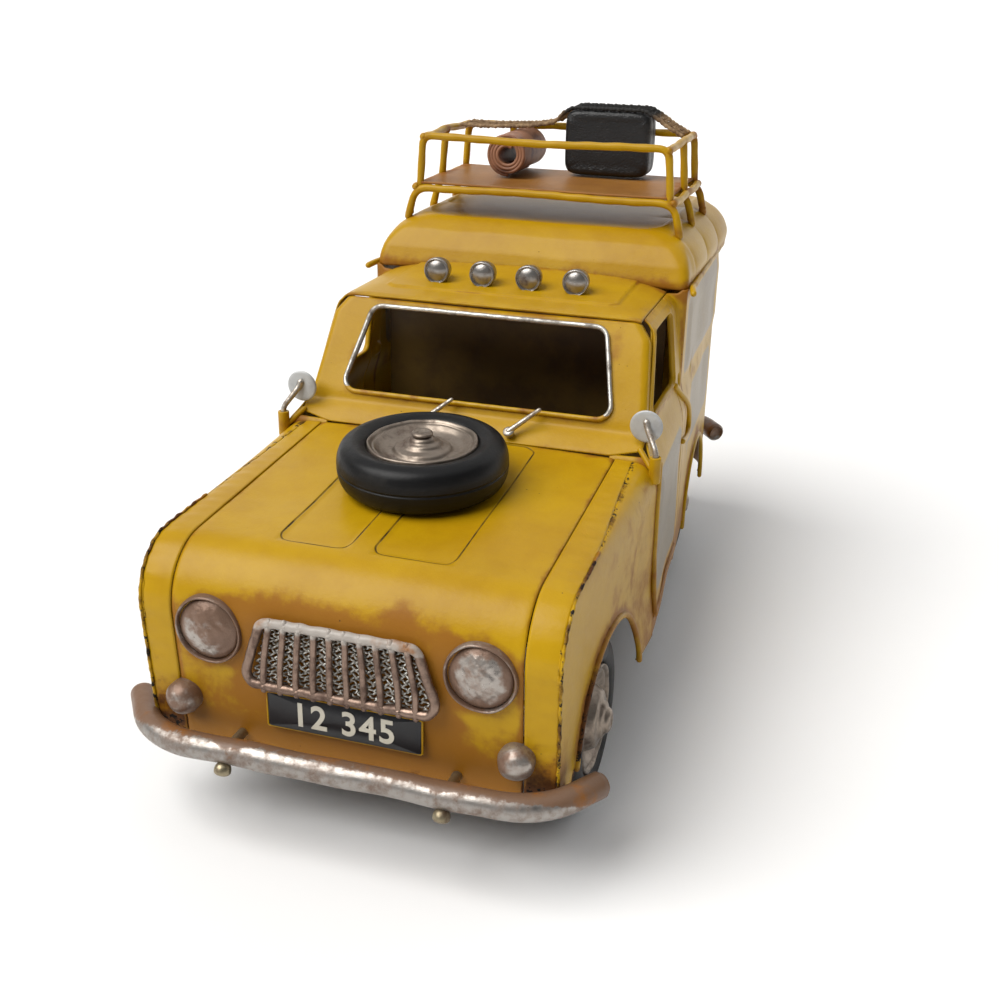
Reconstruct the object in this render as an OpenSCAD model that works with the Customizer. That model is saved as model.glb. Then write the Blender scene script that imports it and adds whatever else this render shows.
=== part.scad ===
// Tin friction car: a soldered sheet-metal van with a roof rack, on two axles.
// Front is -Y, the left side is +X, the ground is z = 0. Millimetres.

/* [Body] */
// Thickness of the tin sheet
tin = 1; // [0.8:0.1:1.2]
// Half width of the centre bonnet panel, between its two side seams
hood_half = 52; // [50:0.5:53]
// Half width of the body at the front corners
nose_half = 61.4; // [60.6:0.2:62]
// Half width of the body at the front edge of the doors
door_half = 66.8; // [66:0.2:68]
// Half width of the body at the rear
rear_half = 58.2; // [58:0.1:58.6]
// Height of the lower edge of the body
sill_z = 30; // [29:0.5:31]
// Height of the bonnet at its rear edge
hood_z = 92.8; // [92:0.2:93.4]
// Fall of the bonnet towards the front, in degrees
hood_fall = 3.3; // [3:0.1:3.6]
// Height of the flat roof of the box
roof_z = 150.5; // [150:0.5:152]
// Height of the gutter between box side and box roof
gutter_z = 132.4; // [132:0.1:133]
// Place of the rear face along Y
tail_y = 141.5; // [140:0.5:142]

/* [Wheels] */
// Outer diameter of the tyres
tyre_d = 53; // [52:0.5:54]
// Width of the tyres
tyre_w = 15; // [14:0.5:15.5]
// Diameter of the rims
rim_d = 34.5; // [33:0.5:36]
// Place of the front axle along Y
front_axle_y = -92.5; // [-94:0.5:-91]
// Place of the rear axle along Y
rear_axle_y = 87.5; // [86:0.5:89]
// Middle of a front wheel from the centre line
front_track = 54.5; // [54:0.5:55]
// Middle of a rear wheel from the centre line
rear_track = 47.5; // [47:0.5:48]
// Diameter of the axles and arbors
axle_d = 3; // [2.9:0.1:3]

/* [Bumpers] */
// Radius of the bumper tubes
bumper_r = 4; // [3.6:0.1:4]
// Centre line of both bumpers from the middle of the car
bumper_y = 150.5; // [150:0.1:152]
// Height of the front bumper
front_bumper_z = 31.2; // [31:0.1:32]
// Height of the rear bumper
rear_bumper_z = 43; // [40:0.5:44]

/* [Rack] */
// Radius of the rack wire
wire_r = 1.3; // [1.1:0.1:1.4]
// Height of the lower frame of the rack
rack_z = 160; // [159:0.5:161]
// Height of the upper rail of the rack
rail_z = 179; // [178:0.5:180]

/* [Hidden] */
$fn = 48;
seam = 0.05;            // half of the hairline between two soldered panels
fit = 0.05;             // radial running clearance of a shaft in its hole
solder = 0.12;          // how far a soldered joint stands proud of its wire
axle_r = axle_d / 2;
tyre_r = tyre_d / 2;
rim_r = rim_d / 2;
cab_y = -41;            // front edge of the doors
door_rear_y = 20.5;     // rear edge of the doors
box_y = 30;             // front face of the box
nose_r = 19;            // radius of the nose in side view
tail_r = 18;            // radius of the upright rear corners
nose_y = -124.5;        // centre of the nose radius along Y
nose_z = hood_z - (cab_y - nose_y) * tan(hood_fall) - nose_r / cos(hood_fall);
face_low_y = -140.5;    // foot of the front face
face_low_z = 26;
nose_corner = 2.5;      // radius of the folded front corners
taper = atan((door_half - nose_half) / 91);
floor_z = 47;           // middle of the chassis plate
plate_t = 1.2;
hanger_x = 34;          // place of the axle hangers
screw_y = [-47, 45];    // rows of body screws
screw_x = 56;
lamp_z = 65.1;
lamp_x = 40.2;
lamp_r = 10.5;
fog_z = 41;
fog_x = 50.4;
fog_r = 5.3;
grille_y = -145.05;
grille_wire = 1.5;
spare_y = -79;
mirror_x = 65.5;
mirror_y = -43;
mirror_bore = 1;
rack_x = 50.6;
rail_x = 47.5;
rack_front = 46;
rack_middle = 74;
rack_rear = 101.5;
deck_z = rack_z + wire_r;
deck_t = 1.2;
screen_low = [-33.7, 98.5];   // foot of the windscreen plane, y and z
screen_top = [-14.8, 131.3];  // head of the windscreen plane
screen_tilt = atan2(screen_top[1] - screen_low[1], screen_top[0] - screen_low[0]);

// Gear train: module 1, 25 degree pressure angle, stub teeth
wheel_teeth = 24;
pinion_teeth = 12;
gear_gap = (wheel_teeth + pinion_teeth) / 2;
idler_rise = 14;        // rise of the line from axle to idler, in degrees
idler_y = rear_axle_y - gear_gap * cos(idler_rise);
idler_z = tyre_r + gear_gap * sin(idler_rise);
fly_y = idler_y - gear_gap;
fly_r = 13;
motor_x = 15;
spacer_y = [fly_y - 9.5, idler_y + 7.8];
spacer_z = 43.8;

// ---- Shared geometry ----

// Points of an arc round c, from angle a0 to a1
function arc(c, r, a0, a1, n = 10) =
    [for (i = [0:n]) let (a = a0 + (a1 - a0) * i / n) c + r * [cos(a), sin(a)]];

// A half outline and its mirror image across the Y axis, as one loop
function both_sides(p) = concat(p, [for (i = [len(p) - 1:-1:0]) [-p[i][0], p[i][1]]]);

// Extrudes a Y-Z outline along X, from x0 to x1
module along_x(x0, x1) {
    translate([x0, 0, 0]) rotate([90, 0, 90]) linear_extrude(x1 - x0) children();
}

// Extrudes an X-Z outline along Y, from y0 to y1
module along_y(y0, y1) {
    translate([0, y1, 0]) rotate([90, 0, 0]) linear_extrude(y1 - y0) children();
}

// Turns a solid of revolution so that its axis lies along X
module axis_x(p) {
    translate(p) rotate([90, 0, 90]) children();
}

// Turns a solid of revolution so that its axis points to the front
module facing_front(p) {
    translate(p) rotate([90, 0, 0]) children();
}

// A straight round wire from p to q
module rod(p, q, r) {
    d = q - p;
    flat = norm([d[0], d[1]]);
    translate(p) rotate([0, atan2(flat, d[2]), atan2(d[1], d[0])]) cylinder(h = norm(d), r = r, $fn = 24);
}

// A bent wire through the points, with a bead of solder at each bend
module wire(points, r) {
    for (i = [0:len(points) - 2]) rod(points[i], points[i + 1], r);
    for (i = [1:len(points) - 2]) translate(points[i]) sphere(r = r + solder, $fn = 24);
}

module left_and_right() {
    children();
    mirror([1, 0, 0]) children();
}

// ---- Body shells: an outer solid with the same solid, inset, taken out ----

module nose_profile(inset) {
    reach = inset > 0 ? 6 : 0;
    rear = cab_y - 0.2 + reach;
    top = hood_z + (rear - cab_y) * tan(hood_fall) - inset / cos(hood_fall);
    polygon(concat([[rear, sill_z - reach], [rear, top]],
                   arc([nose_y, nose_z], nose_r - inset, 90 + hood_fall, 184, 14),
                   [[face_low_y + inset, face_low_z - reach], [front_axle_y, face_low_z - reach],
                    [front_axle_y, sill_z - reach]]));
}

// Side and shoulder of one fender, tapering forwards and falling with the bonnet
module fender_section(inset) {
    shoulder_r = 10;
    translate([0, cab_y, 0]) rotate([hood_fall, 0, 0]) rotate([0, 0, -taper])
        along_y(-115, 9)
            polygon(concat([[-90, -20], [door_half - inset, -20]],
                           arc([door_half - shoulder_r, hood_z - shoulder_r], shoulder_r - inset, 0, 90),
                           [[-90, hood_z - inset]]));
}

module nose_plan(inset) {
    centre = [nose_half - nose_corner, nose_y - nose_r + nose_corner];
    polygon(both_sides(concat([[75, -30], [75, centre[1]]],
                              arc(centre, nose_corner - inset, 0, -90, 6))));
}

module nose_solid(inset) {
    intersection() {
        along_x(-80, 80) nose_profile(inset);
        fender_section(inset);
        mirror([1, 0, 0]) fender_section(inset);
        linear_extrude(120) nose_plan(inset);
    }
}

module nose_shell() {
    difference() {
        nose_solid(0);
        nose_solid(tin);
    }
}

module lower_plan(inset) {
    polygon(both_sides(concat([[door_half - inset, cab_y], [64 - inset, door_rear_y], [60.8 - inset, 60]],
                              arc([rear_half - tail_r, tail_y - tail_r], tail_r - inset, 0, 90))));
}

module upper_plan(inset) {
    polygon(both_sides(concat([[60.6 - inset, box_y - inset]],
                              arc([rear_half - tail_r, tail_y - tail_r], tail_r - inset, 0, 90))));
}

module cab_solid(inset) {
    reach = inset > 0 ? 6 : 0;
    intersection() {
        along_x(-80, 80)
            polygon([[cab_y, sill_z - reach], [cab_y, hood_z - 1.2 * inset],
                     [screen_low[0] + 0.6 * inset, screen_low[1] - 1.2 * inset],
                     [screen_top[0] + 0.6 * inset, screen_top[1] - inset], [-12, 132.2 - inset],
                     [box_y, 135.8 - inset], [box_y, sill_z - reach]]);
        along_y(-60, 60)
            polygon(both_sides(concat([[80 - inset, 10], [80 - inset, 89], [door_half - inset, 89],
                                       [60.5 - inset, 98.5]],
                                      arc([50.8, 125.2], 6.5 - inset, 8, 80),
                                      [[30, 134.8 - inset]], [[8, 135.8 - inset]])));
        linear_extrude(140) lower_plan(inset);
    }
}

module cab_shell() {
    difference() {
        cab_solid(0);
        translate([0, -0.01, 0]) cab_solid(tin);
        translate([-55, box_y - 3, 0]) cube([110, 4, 129]);
    }
}

module box_solid(inset) {
    reach = inset > 0 ? 6 : 0;
    intersection() {
        along_x(-80, 80)
            polygon([[box_y + inset, 80], [box_y + inset, gutter_z + 2], [32.2 + inset, 140],
                     [36.5 + inset, 146], [42.5 + inset, roof_z - inset], [134 - inset, roof_z - inset],
                     [139.5 - inset, 146.5 - inset / 2], [tail_y - inset, 138], [tail_y - inset, 80]]);
        along_y(0, 160)
            polygon(both_sides(concat([[62 - inset, 10]],
                                      arc([45.5, roof_z - 16.5], 15.4 - inset, 0, 72),
                                      [[20, roof_z - 0.2 - inset]], [[8, roof_z - inset]])));
        linear_extrude(160) upper_plan(inset);
    }
    intersection() {
        translate([-80, box_y + (inset > 0 ? -3 : 0), sill_z - reach])
            cube([160, 120, 92 - sill_z + reach - inset]);
        linear_extrude(140) lower_plan(inset);
    }
}

module box_shell() {
    difference() {
        box_solid(0);
        box_solid(tin);
    }
}

module panel_hole(p, r) {
    translate(p) rotate([90, 0, 0]) cylinder(h = 14, r = r, center = true);
}

// A lug inside the body wall, tapped for a body screw
module screw_lug(y, wall_x) {
    difference() {
        translate([screw_x - 5, y - 4, floor_z + plate_t / 2]) cube([wall_x - screw_x + 5, 8, 4]);
        translate([screw_x, y, floor_z]) cylinder(h = 8, r = 1.25);
    }
}

module bonnet_panel() {
    color("goldenrod") difference() {
        intersection() {
            nose_shell();
            translate([-hood_half + seam, -160, 0]) cube([2 * (hood_half - seam), 150, 120]);
        }
        for (s = [-1, 1]) {
            panel_hole([s * lamp_x, -142, lamp_z], lamp_r + seam);
            panel_hole([s * fog_x, -142, fog_z], fog_r + seam);
        }
        spare_place() cylinder(h = 12, r = 2.55, center = true);
    }
}

module fender() {
    difference() {
        intersection() {
            nose_shell();
            translate([hood_half + seam, -160, 0]) cube([30, 160, 120]);
        }
        axis_x([40, front_axle_y, tyre_r]) cylinder(h = 40, r = 33);
        panel_hole([lamp_x, -142, lamp_z], lamp_r + seam);
        panel_hole([fog_x, -142, fog_z], fog_r + seam);
        translate([mirror_x, mirror_y, 80]) cylinder(h = 20, r = 2 + seam);
    }
    screw_lug(screw_y[0], 65.8);
}

module left_fender() {
    color("goldenrod") fender();
}

module right_fender() {
    color("goldenrod") mirror([1, 0, 0]) fender();
}

// Region between two planes parallel to the windscreen, in front and behind it
module screen_band(from, to) {
    along_x(-80, 80)
        polygon([[screen_low[0] + from, screen_low[1]], [screen_low[0] + to, screen_low[1]],
                 [screen_top[0] + to, screen_top[1]], [screen_top[0] + from, screen_top[1]]]);
}

module cowl_panel() {
    color("goldenrod") intersection() {
        cab_shell();
        translate([-60.4, cab_y, 91.5]) cube([120.8, 9, screen_low[1] - 91.5 - seam]);
    }
}

// A trapezoid with round corners, from half width a at z = 0 to b at z = h
module round_trapezoid(a, b, h, r) {
    hull() for (s = [-1, 1]) {
        translate([s * (a - r), r]) circle(r = r, $fn = 32);
        translate([s * (b - r), h - r]) circle(r = r, $fn = 32);
    }
}

// Places a flat outline, drawn upwards, in the windscreen plane
module in_screen(rise) {
    translate([0, screen_low[0], screen_low[1]]) rotate([screen_tilt, 0, 0])
        translate([0, rise, 0]) children();
}

module windscreen_frame() {
    color("goldenrod") difference() {
        intersection() {
            cab_shell();
            screen_band(-3, 3.4);
        }
        in_screen(3.6) translate([0, 0, -6]) linear_extrude(12) round_trapezoid(48.2, 41.6, 30.6, 4);
    }
}

module windscreen_bead() {
    color("silver") in_screen(2.9) linear_extrude(1.4) difference() {
        round_trapezoid(49.2, 42.6, 32, 5);
        translate([0, 1.3]) round_trapezoid(47.9, 41.3, 29.4, 4);
    }
}

module cab_roof() {
    color("goldenrod") intersection() {
        cab_shell();
        translate([-60, -16, screen_top[1] + seam]) cube([120, box_y + 16 - seam, 8]);
    }
}

module door() {
    difference() {
        intersection() {
            cab_shell();
            union() {
                translate([60.5, cab_y, 36]) cube([10, door_rear_y - cab_y, screen_low[1] - 36 - seam]);
                translate([58, -28.1, 90]) cube([10, door_rear_y + 28.1, 12]);
                intersection() {
                    screen_band(3.5, 50);
                    translate([45, -35, screen_low[1] - 1]) cube([20, 35 + door_rear_y, 40]);
                }
            }
        }
        along_x(40, 70) polygon([[-26, 102], [-11.5, 127.5], [16.5, 127.5], [16.5, 102]]);
        translate([mirror_x, mirror_y, 80]) cylinder(h = 20, r = 2 + seam);
    }
    wire([[66.3, cab_y + 0.9, 90], [66.3, cab_y + 0.9, 37], [64, door_rear_y - 1, 37]], 0.9);
}

module left_door() {
    color("goldenrod") door();
}

module right_door() {
    color("goldenrod") mirror([1, 0, 0]) door();
}

module body_side() {
    difference() {
        union() {
            intersection() {
                cab_shell();
                union() {
                    translate([40, cab_y, 20]) cube([40, box_y - cab_y, 36 - 20 - 2 * seam]);
                    translate([40, door_rear_y + 2 * seam, 30])
                        cube([40, box_y - door_rear_y, screen_top[1] - 30]);
                }
            }
            intersection() {
                box_shell();
                translate([50, box_y, 20]) cube([30, tail_y - tail_r - box_y - seam, gutter_z - 20]);
            }
        }
        axis_x([40, rear_axle_y, tyre_r]) cylinder(h = 40, r = 30.5);
        axis_x([50, box_y - 3.5, 100]) cylinder(h = 20, r = 2.2);
    }
    screw_lug(screw_y[1], 61.3);
}

module left_body_side() {
    color("goldenrod") body_side();
}

module right_body_side() {
    color("goldenrod") mirror([1, 0, 0]) body_side();
}

module box_roof() {
    color("goldenrod") intersection() {
        box_shell();
        translate([-80, 0, gutter_z + seam]) cube([160, 160, 40]);
    }
}

module box_bulkhead() {
    color("saddlebrown") along_y(box_y - 2.8, box_y - 1.9)
        polygon([[-54, floor_z + plate_t / 2], [54, floor_z + plate_t / 2], [54, 128], [-54, 128]]);
}

module rear_panel() {
    color("goldenrod") difference() {
        intersection() {
            box_shell();
            translate([-80, tail_y - tail_r + seam, 20]) cube([160, 30, gutter_z - 20 - seam]);
        }
        translate([0, tail_y + 3, 100]) rotate([90, 0, 0]) linear_extrude(8) round_trapezoid(30, 28, 23, 4);
    }
}

module gutter_beads() {
    color("goldenrod") left_and_right()
        rod([61.8, box_y + 1, gutter_z], [59.6, tail_y - tail_r, gutter_z], 1.05);
}

module dash_shelf() {
    color("saddlebrown") translate([-55, -33, 94.5]) cube([110, 16, 1]);
}

// ---- Chassis ----

module chassis_plate() {
    color("dimgray") difference() {
        translate([0, 0, floor_z - plate_t / 2]) linear_extrude(plate_t)
            polygon(both_sides([[38, -137], [38, -54], [60, -54], [60, 52], [38, 52], [38, 137]]));
        for (y = screw_y, s = [-1, 1])
            translate([s * screw_x, y, floor_z]) cylinder(h = 4, r = 1.25, center = true);
    }
}

// A bent strip under the chassis plate with a bushed ear at each side
module hanger(y) {
    ear = 7;
    foot_z = floor_z - plate_t / 2;
    translate([-hanger_x - 0.6, y - ear, foot_z - plate_t]) cube([2 * hanger_x + 1.2, 2 * ear, plate_t]);
    left_and_right() difference() {
        along_x(hanger_x - 0.6, hanger_x + 0.6) {
            translate([y - ear, tyre_r]) square([2 * ear, foot_z - plate_t - tyre_r]);
            translate([y, tyre_r]) circle(r = ear);
        }
        axis_x([hanger_x - 5, y, tyre_r]) cylinder(h = 10, r = 3);
    }
}

module axle_hangers() {
    color("dimgray") {
        hanger(front_axle_y);
        difference() {
            hanger(rear_axle_y);
            axis_x([2, rear_axle_y, tyre_r]) cylinder(h = 7, r = 14);
        }
    }
}

module axle_bushes() {
    color("peru") for (y = [front_axle_y, rear_axle_y]) left_and_right()
        axis_x([hanger_x - 2.5, y, tyre_r]) difference() {
            union() {
                cylinder(h = 5, r = 3 - 0.01);
                translate([0, 0, 3.15]) cylinder(h = 1.85, r = 4.4);
            }
            translate([0, 0, -1]) cylinder(h = 7, r = axle_r + fit);
        }
}

module body_screws() {
    color("silver") for (y = screw_y, s = [-1, 1]) translate([s * screw_x, y, floor_z - plate_t / 2]) {
        cylinder(h = 4.8, r = 1.2);
        difference() {
            translate([0, 0, -1.6]) cylinder(h = 1.6, r = 2.8);
            translate([-3, -0.4, -1.7]) cube([6, 0.8, 0.8]);
        }
    }
}

// ---- Wheels ----

// Tyre, drawn with its axis along Z and its outer face at the top
module tyre() {
    half = tyre_w / 2;
    shoulder = 4;
    rotate_extrude($fn = 96)
        polygon(concat([[rim_r, -half + 1.5], [rim_r + 2.5, -half]],
                       arc([tyre_r - shoulder, -half + shoulder], shoulder, -90, 0, 6),
                       arc([tyre_r - shoulder, half - shoulder], shoulder, 0, 90, 6),
                       [[rim_r + 2.5, half], [rim_r, half - 1.5]]));
}

// Pressed rim with a stepped hub, drawn like the tyre; the crown lifts the hub outwards
module rim(bore, crown = 0) {
    half = tyre_w / 2;
    rotate_extrude($fn = 72) difference() {
        polygon([[0, -half + 4], [5, -half + 4], [5, half - 6], [rim_r - 4, half - 6],
                 [rim_r - 1.2, half - 4], [rim_r - 1.2, -half + 2], [rim_r - 0.01, -half + 2],
                 [rim_r - 0.01, half - 1.6],
                 [rim_r - 0.6, half - 0.6], [rim_r - 2.2, half - 1.4], [11, half - 3.8],
                 [9.5, half - 3 + crown], [8.6, half - 1.6 + crown], [6.4, half - 1.2 + crown],
                 [5.6, half + crown], [4.2, half + 0.4 + crown],
                 [4.0, half + 1.4 + crown], [2.8, half + 2 + crown], [0, half + 2.1 + crown]]);
        translate([-1, -half - 1]) square([1 + bore, tyre_w - 1]);
    }
}

module wheel_place(side, track, y) {
    translate([side * track, y, tyre_r]) rotate([0, side * 90, 0]) children();
}

module front_left_tyre() { color([0.09, 0.09, 0.09]) wheel_place(1, front_track, front_axle_y) tyre(); }
module front_right_tyre() { color([0.09, 0.09, 0.09]) wheel_place(-1, front_track, front_axle_y) tyre(); }
module rear_left_tyre() { color([0.09, 0.09, 0.09]) wheel_place(1, rear_track, rear_axle_y) tyre(); }
module rear_right_tyre() { color([0.09, 0.09, 0.09]) wheel_place(-1, rear_track, rear_axle_y) tyre(); }
module front_left_rim() { color("silver") wheel_place(1, front_track, front_axle_y) rim(axle_r + 0.01, 2); }
module front_right_rim() { color("silver") wheel_place(-1, front_track, front_axle_y) rim(axle_r + 0.01, 2); }
module rear_left_rim() { color("silver") wheel_place(1, rear_track, rear_axle_y) rim(axle_r + 0.01, 2); }
module rear_right_rim() { color("silver") wheel_place(-1, rear_track, rear_axle_y) rim(axle_r + 0.01, 2); }

module axle(track, y) {
    length = 2 * (track + tyre_w / 2 - 3);
    axis_x([-length / 2, y, tyre_r]) cylinder(h = length, r = axle_r);
}

module front_axle() {
    color("silver") axle(front_track, front_axle_y);
}

module rear_axle() {
    color("silver") axle(rear_track, rear_axle_y);
}

// ---- Friction drive ----

// Half angle of a tooth at radius r, for an involute with 25 degree pressure angle
function involute(a) = tan(a) - a * PI / 180;
function tooth_half(n, r, base) =
    let (pitch = n / 2, play = 0.1, a = acos(min(1, base / r)))
    90 / n - play / pitch * 90 / PI + (involute(25) - involute(a)) * 180 / PI;

function tooth(n, centre) =
    let (pitch = n / 2, base = pitch * cos(25), root = pitch - 1.05, tip = pitch + 0.8,
         low = max(root, base), radii = [for (i = [0:5]) low + (tip - low) * i / 5])
    concat([let (a = centre - tooth_half(n, low, base)) root * [cos(a), sin(a)]],
           [for (r = radii) let (a = centre - tooth_half(n, r, base)) r * [cos(a), sin(a)]],
           [for (i = [5:-1:0]) let (r = radii[i], a = centre + tooth_half(n, r, base)) r * [cos(a), sin(a)]],
           [let (a = centre + tooth_half(n, low, base)) root * [cos(a), sin(a)]]);

// A spur gear with one tooth centred on the given angle
module spur(n, first, width) {
    linear_extrude(width) polygon([for (i = [0:n - 1], p = tooth(n, first + i * 360 / n)) p]);
}

module axle_gear() {
    color("khaki") axis_x([4, rear_axle_y, tyre_r]) difference() {
        union() {
            spur(wheel_teeth, 180 - idler_rise, 3);
            cylinder(h = 7, r = 4);
        }
        translate([0, 0, -1]) cylinder(h = 9, r = axle_r + 0.01);
    }
}

module idler_shaft() {
    color("silver") axis_x([-motor_x - 2, idler_y, idler_z]) cylinder(h = 2 * motor_x + 4, r = axle_r);
}

module idler_gear() {
    color("khaki") axis_x([-2.5, idler_y, idler_z]) difference() {
        union() {
            spur(wheel_teeth, 180, 3);
            cylinder(h = 6, r = 4.2);
            translate([0, 0, 6]) spur(pinion_teeth, 180 / pinion_teeth - idler_rise, 4);
        }
        translate([0, 0, -1]) cylinder(h = 14, r = axle_r + 0.01);
    }
}

module flywheel_arbor() {
    color("silver") {
        axis_x([-motor_x - 2, fly_y, idler_z]) cylinder(h = 2 * motor_x + 4, r = axle_r);
        axis_x([-3.5, fly_y, idler_z]) spur(pinion_teeth, 180 / pinion_teeth, 5);
    }
}

module flywheel() {
    color("slategray") axis_x([-13, fly_y, idler_z]) difference() {
        cylinder(h = 8.5, r = fly_r, $fn = 96);
        translate([0, 0, -1]) cylinder(h = 11, r = axle_r + 0.01);
    }
}

module motor_plate(x) {
    top = floor_z - plate_t / 2;
    difference() {
        along_x(x - 0.6, x + 0.6)
            polygon([[idler_y + 10, top], [idler_y + 10, idler_z + 3], [idler_y + 3, idler_z - 7],
                     [fly_y - 3, idler_z - 7], [fly_y - 12, idler_z + 3], [fly_y - 12, top]]);
        for (y = [idler_y, fly_y]) axis_x([x - 3, y, idler_z]) cylinder(h = 6, r = axle_r + fit);
        for (y = spacer_y) axis_x([x - 3, y, spacer_z]) cylinder(h = 6, r = 1.21);
    }
}

module motor_plates() {
    color("darkgray") for (x = [-motor_x, motor_x]) motor_plate(x);
}

module motor_spacers() {
    color("silver") for (y = spacer_y) {
        axis_x([-motor_x + 0.61, y, spacer_z]) cylinder(h = 2 * motor_x - 1.22, r = 1.8);
        axis_x([-motor_x - 1.4, y, spacer_z]) cylinder(h = 2 * motor_x + 2.8, r = 1.2);
    }
}

// ---- Bumpers ----

// Half of a bumper: a straight tube, a bend and a straight end, drawn in plan
module bumper_half(reach, bend_r, end_len) {
    turn = 55;
    rotate([0, 90, 0]) cylinder(h = reach, r = bumper_r);
    translate([reach, bend_r, 0]) rotate([0, 0, -90]) {
        rotate_extrude(angle = turn) translate([bend_r, 0]) circle(r = bumper_r);
        rotate([0, 0, turn]) translate([bend_r, 0, 0]) rotate([-90, 0, 0])
            cylinder(h = end_len, r = bumper_r);
    }
}

module front_bumper() {
    color("silver") translate([0, -bumper_y, front_bumper_z]) left_and_right() bumper_half(45.9, 24, 12);
}

module rear_bumper() {
    color("silver") translate([0, bumper_y, rear_bumper_z]) mirror([0, 1, 0]) left_and_right()
        bumper_half(43, 18, 9.5);
}

// Brass bracket from the panel to the back of a bumper, with its bolt below
module bracket(x, y0, y1, z) {
    rod([x, y0, z], [x, y1, z], 1.6);
}

module bumper_brackets() {
    color("darkkhaki") for (s = [-1, 1]) {
        bracket(s * 33, bumper_r - bumper_y + 0.05, face_low_y - 0.6, front_bumper_z);
        translate([s * 33, -bumper_y, front_bumper_z - bumper_r - 3.4]) cylinder(h = 3.3, r = 1.8);
        bracket(s * 30, bumper_y - bumper_r - 0.05, tail_y + 0.05, rear_bumper_z);
        translate([s * 30, bumper_y, rear_bumper_z - bumper_r - 3.4]) cylinder(h = 3.3, r = 1.8);
    }
}

// ---- Front ----

grille_low = 50;
grille_high = 73;

module grille_outline(inset) {
    translate([0, grille_low + inset])
        round_trapezoid(31 - inset, 24.2 - inset, grille_high - grille_low - 2 * inset, 4.5 - inset);
}

module grille_frame() {
    color("rosybrown") {
        along_y(grille_y - grille_wire, grille_y + grille_wire) difference() {
            grille_outline(0);
            grille_outline(2.4);
        }
        for (i = [0:9])
            rod([-22.7 + 5.05 * i, grille_y, grille_low + 2],
                [-20 + 4.45 * i, grille_y, grille_high - 2], 0.9);
    }
}

module grille_mesh() {
    color("dimgray") along_y(grille_y + 1, grille_y + 1.4) grille_outline(2.5);
}

module plate(y) {
    along_y(y - 0.4, y + 0.4) translate([-23.5, 37]) square([47, 11]);
}

module number_plates() {
    color([0.06, 0.06, 0.06]) {
        plate(face_low_y - 2);
        translate([0, 0, 22]) plate(tail_y + 0.45);
    }
}

module headlight_bezels() {
    color("silver") left_and_right() facing_front([lamp_x, -138, lamp_z]) rotate_extrude($fn = 72)
        polygon([[9.3, 0], [lamp_r, 0], [lamp_r, 5.2], [10.2, 6.2], [9.6, 6.4], [9.3, 5.8]]);
}

module headlight_lenses() {
    color("lightgray") left_and_right() facing_front([lamp_x, -138, lamp_z]) rotate_extrude($fn = 72)
        polygon(concat([[0, 2.6], [9.28, 2.6], [9.28, 5]], arc([0, -5], 13.7, 47.5, 90, 8)));
}

module fog_lamps() {
    color("silver") left_and_right() facing_front([fog_x, -137.5, fog_z]) rotate_extrude($fn = 48)
        polygon(concat([[0, 0], [fog_r, 0], [fog_r, 6]], arc([0, 5], 5.4, 11, 90, 8)));
}

module roof_lamps() {
    lamp = 4.8;
    color("silver") for (x = [-25.6, -8.5, 8.5, 25.6])
        facing_front([x, 10, 138.1]) rotate_extrude($fn = 48)
            polygon(concat([[0, 0], [2.6, 0], [4.2, 3], [lamp, 7.5], [lamp - 0.5, 8.5], [lamp - 0.9, 8]],
                           arc([0, 2.6], 6.6, 55, 90, 5)));
}

module tail_lamps() {
    color("firebrick") for (x = [-33, 33]) translate([x, tail_y + 0.05, 64]) rotate([-90, 0, 0])
        rotate_extrude($fn = 48)
            polygon(concat([[0, 0], [4.4, 0], [4.4, 2]], arc([0, -3.4], 6.8, 50, 90, 6)));
}

// ---- Mirrors and wipers ----

module mirror_socket() {
    difference() {
        translate([mirror_x, mirror_y, 86]) cylinder(h = 9, r = 2);
        translate([mirror_x, mirror_y, 87]) cylinder(h = 9, r = mirror_bore + fit);
    }
}

module mirror_sockets() {
    color("goldenrod") left_and_right() mirror_socket();
}

// Stalk and round glass, soldered together
module mirror_head() {
    rod([mirror_x, mirror_y, 87.2], [mirror_x, mirror_y, 96.2], mirror_bore);
    translate([mirror_x, mirror_y, 96.2]) sphere(r = mirror_bore + solder);
    rod([mirror_x, mirror_y, 96.2], [61.2, -38.4, 103.5], mirror_bore - 0.1);
    facing_front([60.8, -36.6, 102.9]) cylinder(h = 1.4, r = 5.5);
}

module left_mirror() {
    color("lightsteelblue") mirror_head();
}

module right_mirror() {
    color("lightsteelblue") mirror([1, 0, 0]) mirror_head();
}

module wipers() {
    color("silver") for (x = [-15.4, 15.4]) {
        rod([x, -40, 96.6], [x + 9, -35.4, 103.6], 0.9);
        rod([x, -38.75, 94.68], [x, -40.4, 96.8], 1.5);
    }
}

// ---- Spare wheel on the bonnet ----

module spare_place() {
    translate([0, spare_y, hood_z - (cab_y - spare_y) * tan(hood_fall)]) rotate([hood_fall, 0, 0]) children();
}

module spare_tyre() {
    color([0.09, 0.09, 0.09]) spare_place() translate([0, 0, tyre_w / 2 + 0.05]) tyre();
}

module spare_rim() {
    color("silver") spare_place() translate([0, 0, tyre_w / 2 + 0.05]) difference() {
        rim(axle_r, -1);
        cylinder(h = 30, r = 2.51, center = true);
    }
}

module spare_bolt() {
    color("silver") spare_place() {
        translate([0, 0, -4]) cylinder(h = tyre_w + 5.2, r = 2.5);
        translate([0, 0, tyre_w + 1.2]) cylinder(h = 1.2, r = 3.4);
    }
}

// ---- Roof rack and luggage ----

// Two side wires with a cross wire at each end, butted and soldered, at height z
module wire_frame(x, y0, y1, z) {
    left_and_right() rod([x, y0 - wire_r, z], [x, y1 + wire_r, z], wire_r);
    for (y = [y0, y1]) rod([-x + wire_r + seam, y, z], [x - wire_r - seam, y, z], wire_r);
}

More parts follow.
